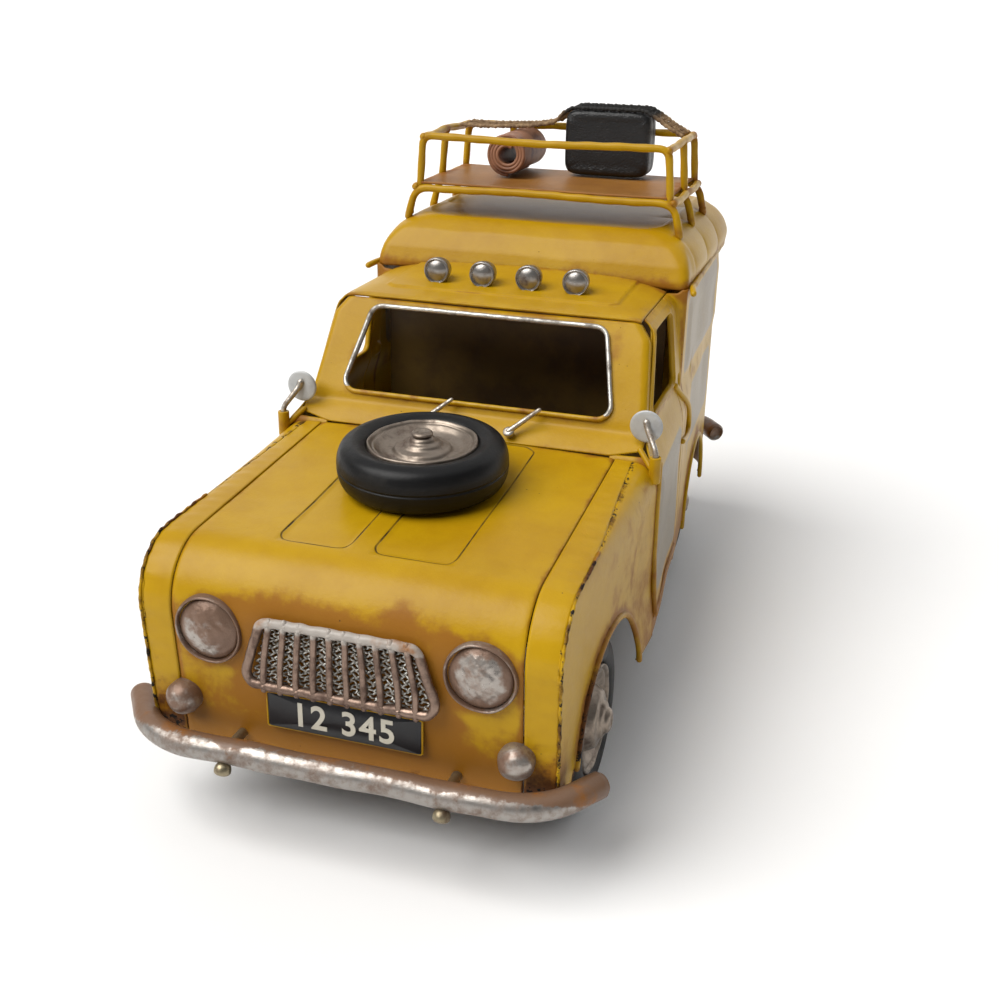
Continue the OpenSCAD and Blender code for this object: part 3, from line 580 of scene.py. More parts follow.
def around(outline, centre, angles):
    """Points where rays from the centre at the given angles meet a closed outline that the centre can
    see."""
    closed = np.concatenate([outline, outline[:1]])
    lengths = np.concatenate([[0], np.cumsum(np.linalg.norm(np.diff(closed, axis=0), axis=1))])
    even = np.linspace(0, lengths[-1], 4000)
    dense = np.stack([np.interp(even, lengths, closed[:, k]) for k in (0, 1)], -1) - centre
    bearing = np.unwrap(np.arctan2(dense[:, 1], dense[:, 0]))
    reach = np.hypot(dense[:, 0], dense[:, 1])
    if bearing[-1] < bearing[0]:
        bearing, reach = bearing[::-1], reach[::-1]
    wanted = bearing[0] + np.mod(angles - bearing[0], 2 * np.pi)
    out = np.interp(wanted, bearing, reach)
    return np.asarray(centre) + np.stack([np.cos(angles), np.sin(angles)], -1) * out[:, None]


def on_screen(x, rise, proud=0.0):
    """A point of the sheet: x across, rise up the windscreen plane or, below zero, down the cowl."""
    up, down = np.maximum(rise, 0), np.minimum(rise, 0)
    y = screen_foot[0] + up * screen_way[0] + down * 7.3 / cowl_run + proud * screen_out[0]
    z = screen_foot[1] + up * screen_way[1] + down * 5.7 / cowl_run + proud * screen_out[1]
    bend = 0.5 * np.exp(-(rise / 2.5) ** 2)
    return np.stack([x + 0 * y, y + bend * 0.8, z - bend * 0.2], -1)


screen_hole = rounded([(-48.2, 3.6), (48.2, 3.6), (41.6, 34.2), (-41.6, 34.2)], 4)
screen_edge = rounded([(-60.3, -cowl_run + 3.2), (-50, -cowl_run + 0.15), (50, -cowl_run + 0.15),
                       (60.3, -cowl_run + 3.2), (60.3, 0.5), (56.9, 32), (52.8, screen_rise - 0.1),
                       (-52.8, screen_rise - 0.1), (-56.9, 32), (-60.3, 0.5)], [1, 6, 6, 1, 3, 5, 2, 2, 5, 3])
ray_count = 480
rays = np.linspace(0, 2 * np.pi, ray_count, endpoint=False)
hole_loop, edge_loop = (around(loop, (0, 18), rays) for loop in (screen_hole, screen_edge))
mix_row = np.linspace(0, 1, 26)[:, None, None]
flat_ring = hole_loop * (1 - mix_row) + edge_loop * mix_row
edge_gap = np.linalg.norm(flat_ring - edge_loop, axis=-1)
at_side = smooth(-2, 2, edge_loop[:, 1])
sunk = -2.6 * (1 - np.sqrt(np.clip(1 - (1 - np.clip(edge_gap / 3, 0, 1)) ** 2, 0, 1))) * at_side
wave = 0.18 * np.sin(flat_ring[..., 0] * 0.12) * np.sin(flat_ring[..., 1] * 0.2 + 1)
face = on_screen(flat_ring[..., 0], flat_ring[..., 1], sunk + wave * smooth(0, 3, edge_gap))
lip_in = on_screen(hole_loop[:, 0], hole_loop[:, 1], -1.6)[None]
lip_turn = on_screen(hole_loop[:, 0] * 1.002, hole_loop[:, 1], -0.5)[None]


def screen_marks(p):
    """Wash round the opening, along the lower corners and where the cowl meets the bonnet."""
    x, z = np.abs(p[:, 0]), p[:, 2]
    rise = (z - screen_foot[1]) / screen_way[1]
    hole = smooth(5, 0, np.hypot(np.maximum(x - 46, 0), np.maximum(np.abs(rise - 19) - 16, 0)))
    return np.clip(0.2 + 0.32 * hole + 0.3 * smooth(95, 92.8, z) + 0.3 * smooth(56, 60, x)
                   * smooth(104, 97, z)
                   + 0.4 * smooth(129, 131.3, z), 0, 1)


corner_x = np.linspace(50, 66.2, 40)
shoulder_share = np.clip((corner_x - 57.7) / 8.9, 0, 0.995)
corner_foot = hood_top - 1.6 - 9 * (1 - np.sqrt(1 - shoulder_share ** 2))
corner_top = np.maximum(np.interp(corner_x, [50, 60.5, 63.8, 66.2], [93.0, 93.3, 92.4, 87.0]),
                        corner_foot + 0.1)
corner_rise = np.linspace(0, 1, 8)[:, None]
corner_points = np.stack([corner_x + 0 * corner_rise, hood_rear - 0.4 + 1.2 * corner_rise ** 2 + 0 * corner_x,
                          corner_foot + (corner_top - corner_foot) * corner_rise], -1)
corner_plate = grid(corner_points)
surround = piece("windscreen_skin", [grid(np.concatenate([lip_in, lip_turn, face]), wrap_columns=True),
                                     corner_plate,
                                     *mirrored([corner_plate])], mustard, wall=0.7,
                 inside=(0, 20, 90), marks={"wash": screen_marks,
                                            "wear": lambda p: 0.35 * smooth(94.5, 92.8, p[:, 2])})
ride_as(surround, "car_body", "body_paint", "windscreen_frame", "cowl_panel")

bead_outline = around(rounded([(-48.4, 3.3), (48.4, 3.3), (41.8, 34.5), (-41.8, 34.5)], 4.6), (0, 18), rays)
bead_path = on_screen(bead_outline[:, 0], bead_outline[:, 1], 0.55)
bead_path += 0.10 * np.sin(np.arange(ray_count) * 0.21)[:, None] * np.array([0.3, -0.8, 0.5])


def worn_silver(name, base=(0.60, 0.585, 0.545), dark=(0.10, 0.07, 0.05), scale=1.0, paint=None):
    """Antique silver: dull bright metal with brown tarnish in the hollows, pits, and paint left on it
    by a mark."""
    s = Shader(name)
    broad, middle, fine = s.noise(90 * scale, 4, 0.6), s.noise(420 * scale, 4, 0.65), s.noise(1900 * scale, 3)
    tarnish = s.step(0.44, 0.72, broad * 0.55 + middle * 0.5)
    colour = s.mix(tarnish * 0.9, base, dark)
    colour = s.mix(s.step(0.62, 0.72, fine * 0.5 + middle * 0.5) * 0.7, colour, (0.03, 0.018, 0.012))
    metal = 1 - tarnish * 0.55
    if paint is not None:
        over = s.step(0.40, 0.55, s.mark("paint") + (middle - 0.5) * 0.55)
        colour = s.mix(over, colour, s.mix(s.step(0.5, 0.7, broad), paint, WASH))
        metal = metal * (1 - over)
    return s.finish({"Base Color": colour, "Metallic": metal,
                     "Roughness": 0.38 + tarnish * 0.25 + (fine - 0.5) * 0.12},
                    broad * 0.5 + middle * 0.6 + fine * 0.2, 0.0004, 0.5)


silver_bead = worn_silver("bead_silver", paint=MUSTARD)
screen_bead = piece("windscreen_wire", [sweep(bead_path, 0.85, 10, closed=True)], silver_bead,
                    marks={"paint": lambda p: smooth(105, 101.5, p[:, 2])})
ride_as(screen_bead, "car_body", "antique_silver", "windscreen_bead")

# ---- Cab roof: a shallow crowned sheet with a raised plate under the lamps ----
# One pressed sheet. The plate's front corners are cut off at a slant, and brown wash lies along its edge.

roof_rear = 29.9
roof_x = 52.9
roof_front = screen_head[0] + 0.1


def ridge(x, y):
    """Height of the cab roof: the lower of a lengthways slope and a crowned section, blended over a
    millimetre."""
    rise_front = 0.9 * np.sqrt(np.clip((y - screen_head[0]) / 2.6, 0, 1))
    lengthways = screen_head[1] + rise_front + (y + 12) * smooth(-15, -10, y) * 0.0857
    section = np.interp(np.abs(x), [0, 8, 30, 44, 50, 52.9], [136.2, 135.9, 134.9, 133.6, 132.3, 131.35])
    return lengthways - np.log1p(np.exp(np.clip((lengthways - section) * 2.4, -40, 40))) / 2.4 + 0.02


def raised_plate(x, y):
    """1 on the plate under the lamps, 0 off it, sloping over 1.5 mm."""
    x = np.abs(x)
    slant = (x - 30) * 0.75 - (y + 4)
    inside = np.minimum(np.minimum(43 - x, y + 5.5), -slant / 1.25 + 7)
    return smooth(0, 1.3, inside)


x, y = np.meshgrid(np.linspace(-roof_x, roof_x, 181), np.linspace(roof_front, roof_rear, 91))
z = ridge(x, y) + 0.75 * raised_plate(x, y) - 0.25 * np.exp(-((x - 48) ** 2 + (y - 12) ** 2) / 60)
z -= 0.3 * np.exp(-((x + 12) ** 2 + (y - 18) ** 2) / 180)
plate_rim = (raised_plate(x, y) * (1 - raised_plate(x, y)) * 4).reshape(-1)


def roof_marks(p):
    x, y = np.abs(p[:, 0]), p[:, 1]
    return np.clip(0.16 + 0.42 * plate_rim + 0.5 * smooth(22, 30, y) + 0.35 * smooth(-11, -15, y)
                   + 0.25 * smooth(46, 53, x), 0, 1)


cab_lid = piece("cab_roof_skin", [grid(np.stack([x, y, z], -1))], mustard, wall=0.8, inside=(0, 5, 100),
                marks={"wash": roof_marks, "wear": lambda p: 0.3 * smooth(-13, -15, p[:, 1]) + 0.4
                       * plate_rim})
ride_as(cab_lid, "car_body", "body_paint", "cab_roof")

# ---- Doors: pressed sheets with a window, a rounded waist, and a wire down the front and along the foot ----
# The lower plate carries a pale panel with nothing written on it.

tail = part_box("rear_panel")[1][1] / MM
tail_radius = 18.0
box_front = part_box("box_roof")[0][1] / MM
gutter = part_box("box_roof")[0][2] / MM
half_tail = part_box("rear_panel")[1][0] / MM


def side_half(y, z):
    """Half width of the body: the straight lower sides, the leaning cab and the upright box, blended
    at the waist."""
    lower = np.interp(y, [hood_rear, 20.5, 60, tail - tail_radius], [door_half, 63.9, 60.7, half_tail])
    leaning = np.interp(z, [98.5, 118, 126.1, 128, 129.8, 131.3], [60.4, 58.2, 57.2, 56.6, 55.3, 53.1])
    upright = np.interp(y, [box_front, tail - tail_radius], [60.5, half_tail])
    upper = leaning + (upright - leaning) * smooth(28.2, 30.6, y)
    waist = smooth(85, 99.5, z) ** 1.3
    return lower + (upper - lower) * waist


def yz_sheet(loop):
    """Lays a y, z loop on the body's left side."""
    return np.stack([side_half(loop[..., 0], loop[..., 1]), loop[..., 0], loop[..., 1]], -1)


door_front, door_rear, door_foot = hood_rear + 0.2, 20.35, 36.1
door_top = 131.2
door_outline = rounded([(door_front, door_foot), (door_rear, door_foot), (door_rear, door_top),
                        (-11.2, door_top),
                        (-30.0, 98.9), (-33.2, 98.3), (door_front, 92.6)], [1, 1, 1, 1, 3, 1, 1.5])
window_loop = rounded([(-26, 102), (-11.5, 127.5), (16.5, 127.5), (16.5, 102)], [3, 2.5, 3, 3])
window_middle = (2.5, 114.0)
window_ring, door_ring = (around(loop, window_middle, rays) for loop in (window_loop, door_outline))
steps = np.linspace(0, 1, 70)[:, None, None] ** 1.1
door_flat = window_ring * (1 - steps) + door_ring * steps
door_shape = yz_sheet(door_flat)
gap_window = np.linalg.norm(door_flat - window_ring, axis=-1)
panel_dome = smooth(0, 9, np.minimum(np.minimum(door_flat[..., 0] + 39, 18.5 - door_flat[..., 0]),
                                     np.minimum(door_flat[..., 1] - 37.5, 90 - door_flat[..., 1])))
door_shape[..., 0] += 0.9 * panel_dome + 0.7 * smooth(2.6, 0.4, gap_window) * smooth(0, 0.5, gap_window)
door_shape[..., 0] += 1.7 * smooth(52, 36, door_shape[..., 2]) * smooth(0, -36, door_shape[..., 1])
door_shape[..., 0] -= dents(door_shape, [(65, -10, 60), (65, 8, 72), (66, -30, 50)], [14, 9, 8],
                            [1.1, 0.6, 0.5])
door_lip = door_shape[:1] - np.array([1.4, 0, 0])
door_wire = sweep([(66.4, door_front + 0.6, 92), (66.5, door_front + 0.6, 80), (66.6, door_front + 0.7, 60),
                   (67.5, door_front + 0.7, 44), (68.2, door_front + 0.9, 38.6),
                   (68.2, door_front + 2.2, 36.9),
                   (67.6, -30, 36.7), (65.2, -5, 36.6), (63.9, 19.6, 36.7)], 1.05, 12)


def panel_mask(y, z, low, high, corner=5.0):
    """1 inside a rounded rectangle from low to high, 0 outside it, with a soft edge of a millimetre."""
    middle, half = (np.array(low) + high) / 2, (np.array(high) - low) / 2 - corner
    dy, dz = np.abs(y - middle[0]) - half[0], np.abs(z - middle[1]) - half[1]
    away = np.hypot(np.maximum(dy, 0), np.maximum(dz, 0)) + np.minimum(np.maximum(dy, dz), 0) - corner
    return smooth(0.5, -0.5, away)


def door_marks(p):
    y, z = p[:, 1], p[:, 2]
    edge = smooth(6, 0, y - door_front) + smooth(6, 0, door_rear - y) * 0.7
    return np.clip(0.2 + 0.45 * edge * smooth(100, 90, z) + 0.6 * smooth(46, 36, z)
                   + 0.4 * smooth(104, 100.5, z) * smooth(97, 100, z) + 0.3 * smooth(127, 131, z), 0, 1)


door_pale = lambda p: panel_mask(p[:, 1], p[:, 2], (-37.5, 43), (15, 87.5), 6)

# ---- Body sides: sill, pillar and box side in one sheet, with the rear arch and a hooked bead ----
# The box side carries two pale panels. A small vent is pierced in the pillar.

rear_axle_y = np.mean([corner[1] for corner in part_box("rear_axle")]) / MM
rear_arch = arch_radius - 2.4
side_rear = tail - tail_radius - 0.1
vent = np.array([26.5, 100.0])
along = np.linspace(0, 1, 261)
top_path = door_rear + 0.4 + (side_rear - door_rear - 0.4) * along
rear_foot = math.asin((sill - wheel_radius) / rear_arch)
rear_reach = rear_arch * math.cos(rear_foot)
foot_keys = np.array([0, (rear_axle_y - rear_reach - door_rear) / (side_rear - door_rear) * 0.86, 0.92, 1])
turn = np.interp(along, [foot_keys[1], 0.30, 0.50, 0.66, 0.80, foot_keys[2]],
                 np.radians([180, 150, 108, 72, 28, 0]))
turn = rear_foot + (np.pi - 2 * rear_foot) * turn / np.pi
low_y = np.where(along < foot_keys[1], np.interp(along, foot_keys[:2],
        [door_rear + 0.4, rear_axle_y - rear_reach]),
                 np.where(along > foot_keys[2], np.interp(along, foot_keys[2:],
                         [rear_axle_y + rear_reach, side_rear]),
                          rear_axle_y + rear_arch * np.cos(turn)))
low_z = np.where((along < foot_keys[1]) | (along > foot_keys[2]), sill,
                 wheel_radius + rear_arch * np.sin(turn))
down = np.linspace(0, 1, 121)[:, None]
upper_z = np.where(top_path < 29.6, door_top, gutter)
side_y = top_path + (low_y - top_path) * down ** 1.5
side_z = upper_z + (low_z - upper_z) * down
side_shape = np.stack([side_half(side_y, side_z), side_y, side_z], -1)
side_lip = smooth(2.2, 0, np.hypot(side_y - rear_axle_y, side_z - wheel_radius) - rear_arch) * (side_z
        > sill + 1)
side_shape[..., 0] += 0.8 * side_lip
side_shape[..., 0] += 0.7 * smooth(0, 10, side_y - 36) * smooth(0, 8, gutter - 3 - side_z) * smooth(0, 8,
        side_z - 96)
side_shape[..., 0] -= dents(side_shape, [(60, 70, 115), (60, 100, 85), (60, 50, 70), (60, 112, 110)],
                            [16, 12, 10, 9],
                            [0.9, 0.8, 0.6, 0.6])
vent_gap = np.hypot(side_shape[..., 1] - vent[0], side_shape[..., 2] - vent[1])
side_shape[..., 0] -= 1.3 * smooth(2.6, 1.5, vent_gap)
sill_y, sill_z = np.meshgrid(np.linspace(hood_rear + 0.2, door_rear + 0.2, 40), np.linspace(35.9, sill, 9),
                             indexing="ij")
sill_shape = np.stack([side_half(sill_y, sill_z) - 0.25 + 1.7 * smooth(0, -36, sill_y), sill_y, sill_z], -1)
hook_path = np.array([(17, 100.6), (20, 98.6), (25, 95), (32, 90.5), (39, 86), (44.5, 81.5), (47, 77.5),
                      (45.5, 74.6),
                      (40, 74), (32, 75.5), (24, 77.6), (20.8, 78.4)])
fine_hook = np.stack([np.interp(np.linspace(0, 11, 67), np.arange(12), hook_path[:, k]) for k in (0, 1)], -1)
for _ in range(3):
    fine_hook[1:-1] = (fine_hook[:-2] + 2 * fine_hook[1:-1] + fine_hook[2:]) / 4
hook_wire = sweep(np.stack([side_half(fine_hook[:, 0], fine_hook[:, 1]) + 0.4, fine_hook[:, 0],
                            fine_hook[:, 1]], -1), 1.1, 10)
rear_turn = np.linspace(rear_foot - 0.06, np.pi - rear_foot + 0.06, 60)
wire_y = rear_axle_y + rear_arch * np.cos(rear_turn)
wire_z = wheel_radius + rear_arch * np.sin(rear_turn)
rear_wire = sweep(np.stack([side_half(wire_y, wire_z) + 0.4, wire_y, wire_z], -1), 1.0, 10)


def side_marks(p):
    y, z = p[:, 1], p[:, 2]
    arch = smooth(9, 0, np.hypot(y - rear_axle_y, z - wheel_radius) - rear_arch)
    return np.clip(0.24 + 0.55 * smooth(60, 32, z) + 0.5 * arch + 0.45 * smooth(126, 132, z)
                   + 0.3 * smooth(8, 0, np.abs(z - 93)) + 0.5 * smooth(32, 29.8, y) * smooth(28, 29.8, y), 0,
                   1)


def side_wear(p):
    y, z = p[:, 1], p[:, 2]
    return np.clip(0.9 * smooth(2.4, 1.4, np.hypot(y - vent[0], z - vent[1])) + 0.4 * smooth(36, 30, z), 0,
                   1.3)


def side_pale(p):
    y, z = p[:, 1], p[:, 2]
    return np.maximum(panel_mask(y, z, (36, 99), (118, 128), 4),
                      panel_mask(y, z, (52, 64), (118, 90), 5)) * 0.9


for side in ("left", "right"):
    flip = (lambda shapes: shapes) if side == "left" else mirrored
    sign = 1 if side == "left" else -1
    door = piece(side + "_door_skin",
                 flip([grid(np.concatenate([door_lip, door_shape]), wrap_columns=True)]), mustard,
                 wall=0.7, inside=(sign * 30, -10, 60), marks={"wash": door_marks, "pale": door_pale,
                                                               "wear": lambda p: 0.35
                                                               * smooth(38, 36, p[:, 2])})
    door_bead = piece(side + "_door_wire", flip([door_wire]), mustard,
                      marks={"wash": lambda p: 0.45 + 0.4 * smooth(60, 36, p[:, 2]),
                             "wear": lambda p: np.full(len(p), 0.4)})
    body_side = piece(side + "_side_skin", flip([grid(side_shape), grid(sill_shape)]), mustard, wall=0.8,
                      inside=(sign * 20, 60, 80), marks={"wash": side_marks, "wear": side_wear,
                              "pale": side_pale})
    side_beads = piece(side + "_side_wires", flip([hook_wire, rear_wire]), mustard,
                       marks={"wash": lambda p: np.full(len(p), 0.35),
                              "wear": lambda p: np.full(len(p), 0.3)})
    ride_as(door, "car_body", "body_paint", side + "_door")
    ride_as(body_side, "car_body", "body_paint", side + "_body_side")
    for beads in (door_bead, side_beads):
        ride_as(beads, "car_body", "body_paint")

# ---- Rear panel: one sheet bent round both rear corners, with a window and the outline of a hatch ----
# Nothing of the rear shows from the front, so it follows the sides: plain mustard with a wash at its edges.

corner_run = tail_radius * np.pi / 2
half_flat = half_tail - tail_radius
half_run = half_flat + corner_run


def wrapped_rear(w, z, proud=0.0):
    """Lays a flat sheet round the rear: straight across the middle, then round a quarter circle at
    each side."""
    turn = np.clip((np.abs(w) - half_flat) / tail_radius, 0, np.pi / 2)
    radius = tail_radius + proud
    x = np.minimum(np.abs(w), half_flat) + radius * np.sin(turn)
    return np.stack([np.sign(w) * x, tail - tail_radius + radius * np.cos(turn), z + 0 * w], -1)


rear_hole = around(rounded([(-30, 100), (30, 100), (28, 123), (-28, 123)], 4), (0, 111.5), rays)
rear_edge = around(rounded([(-half_run, sill), (half_run, sill), (half_run, gutter), (-half_run, gutter)],
                           0.5),
                   (0, 111.5), rays)
steps = np.linspace(0, 1, 80)[:, None, None] ** 1.15
rear_flat = rear_hole * (1 - steps) + rear_edge * steps
hatch_gap = np.abs(np.maximum(np.abs(rear_flat[..., 0]) - 35, np.abs(rear_flat[..., 1] - 88) - 40))
hole_gap = np.linalg.norm(rear_flat - rear_hole, axis=-1)
swell = 0.5 * smooth(2.5, 0.4, hole_gap) * smooth(0, 0.4, hole_gap) - 0.45 * smooth(0.9, 0, hatch_gap)
swell += 0.5 * smooth(0, 8, 33 - np.abs(rear_flat[..., 0])) * smooth(0, 8,
        94 - rear_flat[..., 1]) * smooth(0, 8, rear_flat[..., 1] - 50)
swell -= 0.5 * np.exp(-((rear_flat[..., 0] - 14) ** 2 + (rear_flat[..., 1] - 60) ** 2) / 120)
rear_shape = wrapped_rear(rear_flat[..., 0], rear_flat[..., 1], swell * 0.55 - 0.35)
rear_lip = rear_shape[:1] - np.array([0, 1.4, 0])


def rear_marks(p):
    x, z = np.abs(p[:, 0]), p[:, 2]
    hatch = smooth(3, 0, np.abs(np.maximum(x - 35, np.abs(z - 88) - 40)))
    return np.clip(0.22 + 0.6 * smooth(58, 32, z) + 0.4 * hatch + 0.4 * smooth(127, 132, z), 0, 1)


rear_skin = piece("rear_skin", [grid(np.concatenate([rear_lip, rear_shape]), wrap_columns=True)], mustard,
                  wall=0.8,
                  inside=(0, 60, 80), marks={"wash": rear_marks,
                                             "wear": lambda p: 0.4 * smooth(37, 30, p[:, 2])})
ride_as(rear_skin, "car_body", "body_paint", "rear_panel")

# ---- Box roof: a tray turned upside down, with round shoulders and soft pressed waves round them ----
# It sits on the sides in a soldered gutter, which a wire covers.

roof_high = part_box("box_roof")[1][2] / MM
roof_middle = np.array([0, (box_front + tail) / 2])


shoulder_height, shoulder_half = 16.5, 60.3


def roof_loop(level):
    """Outline of the roof at a level from 0, the gutter, to 1, the flat top: a rectangle with rounded
    corners.

    The sides draw in along a quarter circle, the front and rear along steeper curves.
    """
    lift = gutter + (roof_high - gutter) * level
    turn = np.clip((lift - roof_high + shoulder_height) / shoulder_height, 0, 1)
    draw = 1 - np.sqrt(1 - turn ** 2 * 0.9999)
    half = shoulder_half - 14 * draw
    front = box_front + 0.15 + np.interp(lift, [134.4, 140, 146, roof_high], [0, 2.4, 7, 13]) + 2 * draw ** 3
    rear = tail - 0.3 - np.interp(lift, [138, 146.5, roof_high], [0, 2, 7]) - 3 * draw ** 3
    outline = rounded([(-half, front), (half, front), (half, rear), (-half, rear)],
                      [3 + 9 * draw, 3 + 9 * draw, tail_radius - 6 * draw, tail_radius - 6 * draw])
    return around(outline, roof_middle, rays), lift


levels = np.sin(np.linspace(0, np.pi / 2, 34))
loops = [roof_loop(level) for level in levels]
shoulder = np.array([np.concatenate([loop, np.full((ray_count, 1), lift)], 1) for loop, lift in loops])
shrink = np.cos(np.linspace(0.12, np.pi / 2, 26))[:, None, None]
crest = np.concatenate([roof_middle + (shoulder[-1:, :, :2] - roof_middle) * shrink,
                        np.broadcast_to(roof_high - 0.25 - 0.2 * shrink, (26, ray_count, 1))], -1)
crest[0, :, 2] = roof_high - 0.3
roof_shape = np.concatenate([shoulder[:-1], crest])
roof_shape[..., 2] = np.minimum(roof_shape[..., 2], roof_high - 0.05)
rib = np.interp(roof_shape[..., 1], [30, 46, 74, 101.5, 130, 141], [0, 1, 2, 3, 4, 5])
pillow = np.sqrt(np.abs(np.sin(np.pi * rib)) + 1e-6) * smooth(36, 48,
        np.abs(roof_shape[..., 0])) * smooth(40, 48, roof_shape[..., 1])
pillow = pillow * smooth(0, 7, roof_shape[..., 2] - gutter) * smooth(141, 128, roof_shape[..., 1])
roof_shape[..., 0] += 1.5 * pillow * np.sign(roof_shape[..., 0]) * smooth(roof_high, roof_high - 8,
        roof_shape[..., 2])
roof_shape[..., 2] += 0.9 * pillow * smooth(53, 47, np.abs(roof_shape[..., 0])) - 0.2 * smooth(36, 48,
        np.abs(roof_shape[..., 0]))
roof_shape[..., 2] -= dents(roof_shape, [(10, 33, 142), (-30, 37, 147), (0, 80, roof_high)], [12, 9, 24],
                            [0.5, 0.5, 0.4])


def box_marks(p):
    x, y, z = np.abs(p[:, 0]), p[:, 1], p[:, 2]
    legs = np.exp(-((x - 52) ** 2 + np.minimum(np.minimum((y - 46) ** 2, (y - 74) ** 2), (y - 101.5) ** 2))
                  / 20)
    return np.clip(0.14 + 0.55 * smooth(139, 132.5, z) + 0.55 * legs + 0.2 * smooth(36, 31, y), 0, 1)


box_lid = piece("box_roof_skin", [grid(roof_shape, wrap_columns=True)], mustard, wall=0.8,
                inside=(0, 85, 120),
                marks={"wash": box_marks, "wear": lambda p: 0.45 * smooth(135, 132.5, p[:, 2])})
ride_as(box_lid, "car_body", "body_paint", "box_roof")

gutter_y = np.linspace(box_front + 0.4, tail - tail_radius, 60)
gutter_line = np.stack([side_half(gutter_y, 130.0 + 0 * gutter_y) + 1.0, gutter_y,
                        gutter + 0.12 * np.sin(gutter_y * 0.4)], -1)
gutter_line[:3] += np.array([(1.6, -2.6, -0.4), (1.0, -1.6, -0.2), (0.4, -0.6, 0)])
gutter_wires = [sweep(gutter_line, 1.15, 12)]
gutters = piece("gutter_wires", gutter_wires + mirrored(gutter_wires), mustard,
                marks={"wash": lambda p: 0.4 + 0.25 * np.sin(p[:, 1] * 0.35),
                       "wear": lambda p: np.full(len(p), 0.45)})
ride_as(gutters, "car_body", "body_paint", "gutter_beads")

# ---- Bumpers: steel tube bent back at both ends, closed at the tips and soldered to brass brackets ----
# Silver showing on the front, with brown rust over the top and round the solder.


def bent(points, radius, steps=7):
    """A path through the points with each inner corner rounded: a quadratic curve that leaves the
    corner's two
    sides at radius from it."""
    points = np.asarray(points, float)
    before, corner, after = points[:-2], points[1:-1], points[2:]
    back, on = before - corner, after - corner
    reach_back = np.minimum(radius, 0.49 * np.linalg.norm(back, axis=1))[:, None]
    reach_on = np.minimum(radius, 0.49 * np.linalg.norm(on, axis=1))[:, None]
    first = corner + back / np.linalg.norm(back, axis=1)[:, None] * reach_back
    last = corner + on / np.linalg.norm(on, axis=1)[:, None] * reach_on
    t = np.linspace(0, 1, steps)[None, :, None]
    curve = first[:, None] * (1 - t) ** 2 + corner[:, None] * 2 * t * (1 - t) + last[:, None] * t ** 2
    return np.concatenate([points[:1], curve.reshape(-1, points.shape[1]), points[-1:]])


def evened(path, step):
    """The same path with points a fixed step apart."""
    path = np.asarray(path, float)
    lengths = np.concatenate([[0], np.cumsum(np.linalg.norm(np.diff(path, axis=0), axis=1))])
    wanted = np.linspace(0, lengths[-1], max(int(lengths[-1] / step), 2) + 1)
    return np.stack([np.interp(wanted, lengths, path[:, k]) for k in range(3)], -1)


def lumps(points, scale, depth, seed=0.0):
    """Points shifted by a smooth field of sines of about the given length, as hand-finished metal has."""
    p = points / scale + seed
    shift = np.stack([np.sin(p[:, 1] * 1.7 + np.sin(p[:, 2])), np.sin(p[:, 2] * 1.3 + 1.9 * np.sin(p[:, 0])),
                      np.sin(p[:, 0] * 1.5 + 1.3 * np.sin(p[:, 1] + 1))], -1)
    return points + depth * shift


bumper_silver = worn_silver("bumper_silver", (0.36, 0.335, 0.31), (0.17, 0.105, 0.07),
                            paint=(0.17, 0.095, 0.055))
bumper_data = {"front": (-1, 45.9, 24.0, 12.0), "rear": (1, 43.0, 18.0, 9.5)}
for end, (way, reach, bend_radius, tip) in bumper_data.items():
    node = end + "_bumper"
    low, high = (np.array(corner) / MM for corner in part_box(node))
    tube_radius = (high[2] - low[2]) / 2
    centre_z = (high[2] + low[2]) / 2
    line_y = (low[1] if way < 0 else high[1]) - way * tube_radius
    turn = np.radians(np.linspace(0, 55, 14))
    bend_x = reach + bend_radius * np.sin(turn)
    bend_y = line_y - way * bend_radius * (1 - np.cos(turn))
    tip_x = bend_x[-1] + (tip - 0.6) * np.cos(turn[-1])
    tip_y = bend_y[-1] - way * (tip - 0.6) * np.sin(turn[-1])
    half = np.concatenate([[[0, line_y]], np.stack([bend_x, bend_y], -1), [[tip_x, tip_y]]])
    whole = np.concatenate([half[::-1] * [-1, 1], half[1:]])
    path = evened(np.column_stack([whole, np.full(len(whole), centre_z)]), 1.2)
    path[:, 2] += 0.25 * np.sin(path[:, 0] * 0.05) + 0.1 * np.sin(path[:, 0] * 0.17)
    radii = tube_radius - 0.12 + 0.08 * np.sin(path[:, 0]
            * 0.23) - 0.1 * np.exp(-((path[:, 0] - 12) / 6) ** 2)
    radii[[0, -1]] -= 0.8
    tube, tube_faces = sweep(path, radii, 28, round_ends=False)
    tube = lumps(tube, 6.0, 0.10, 2.0)

    def rusty(p):
        """Rust over the top of the tube, and all round it near the two brackets."""
        top = smooth(0.2, 1.0, (p[:, 2] - centre_z - 0.3 * way * (p[:, 1] - line_y)) / tube_radius)
        near = np.exp(-((np.abs(p[:, 0]) - 31.5) / 4.5) ** 2) * 0.28
        tip_end = smooth(58, 72, np.abs(p[:, 0])) * 0.3
        return np.clip(0.1 + top * 0.5 + near + tip_end, 0, 1)

    bumper = piece(end + "_bumper_tube", [(tube, tube_faces)], bumper_silver, inside=(0, 0, 0),
                   marks={"paint": rusty})
    ride_as(bumper, "car_body", "antique_silver", node)


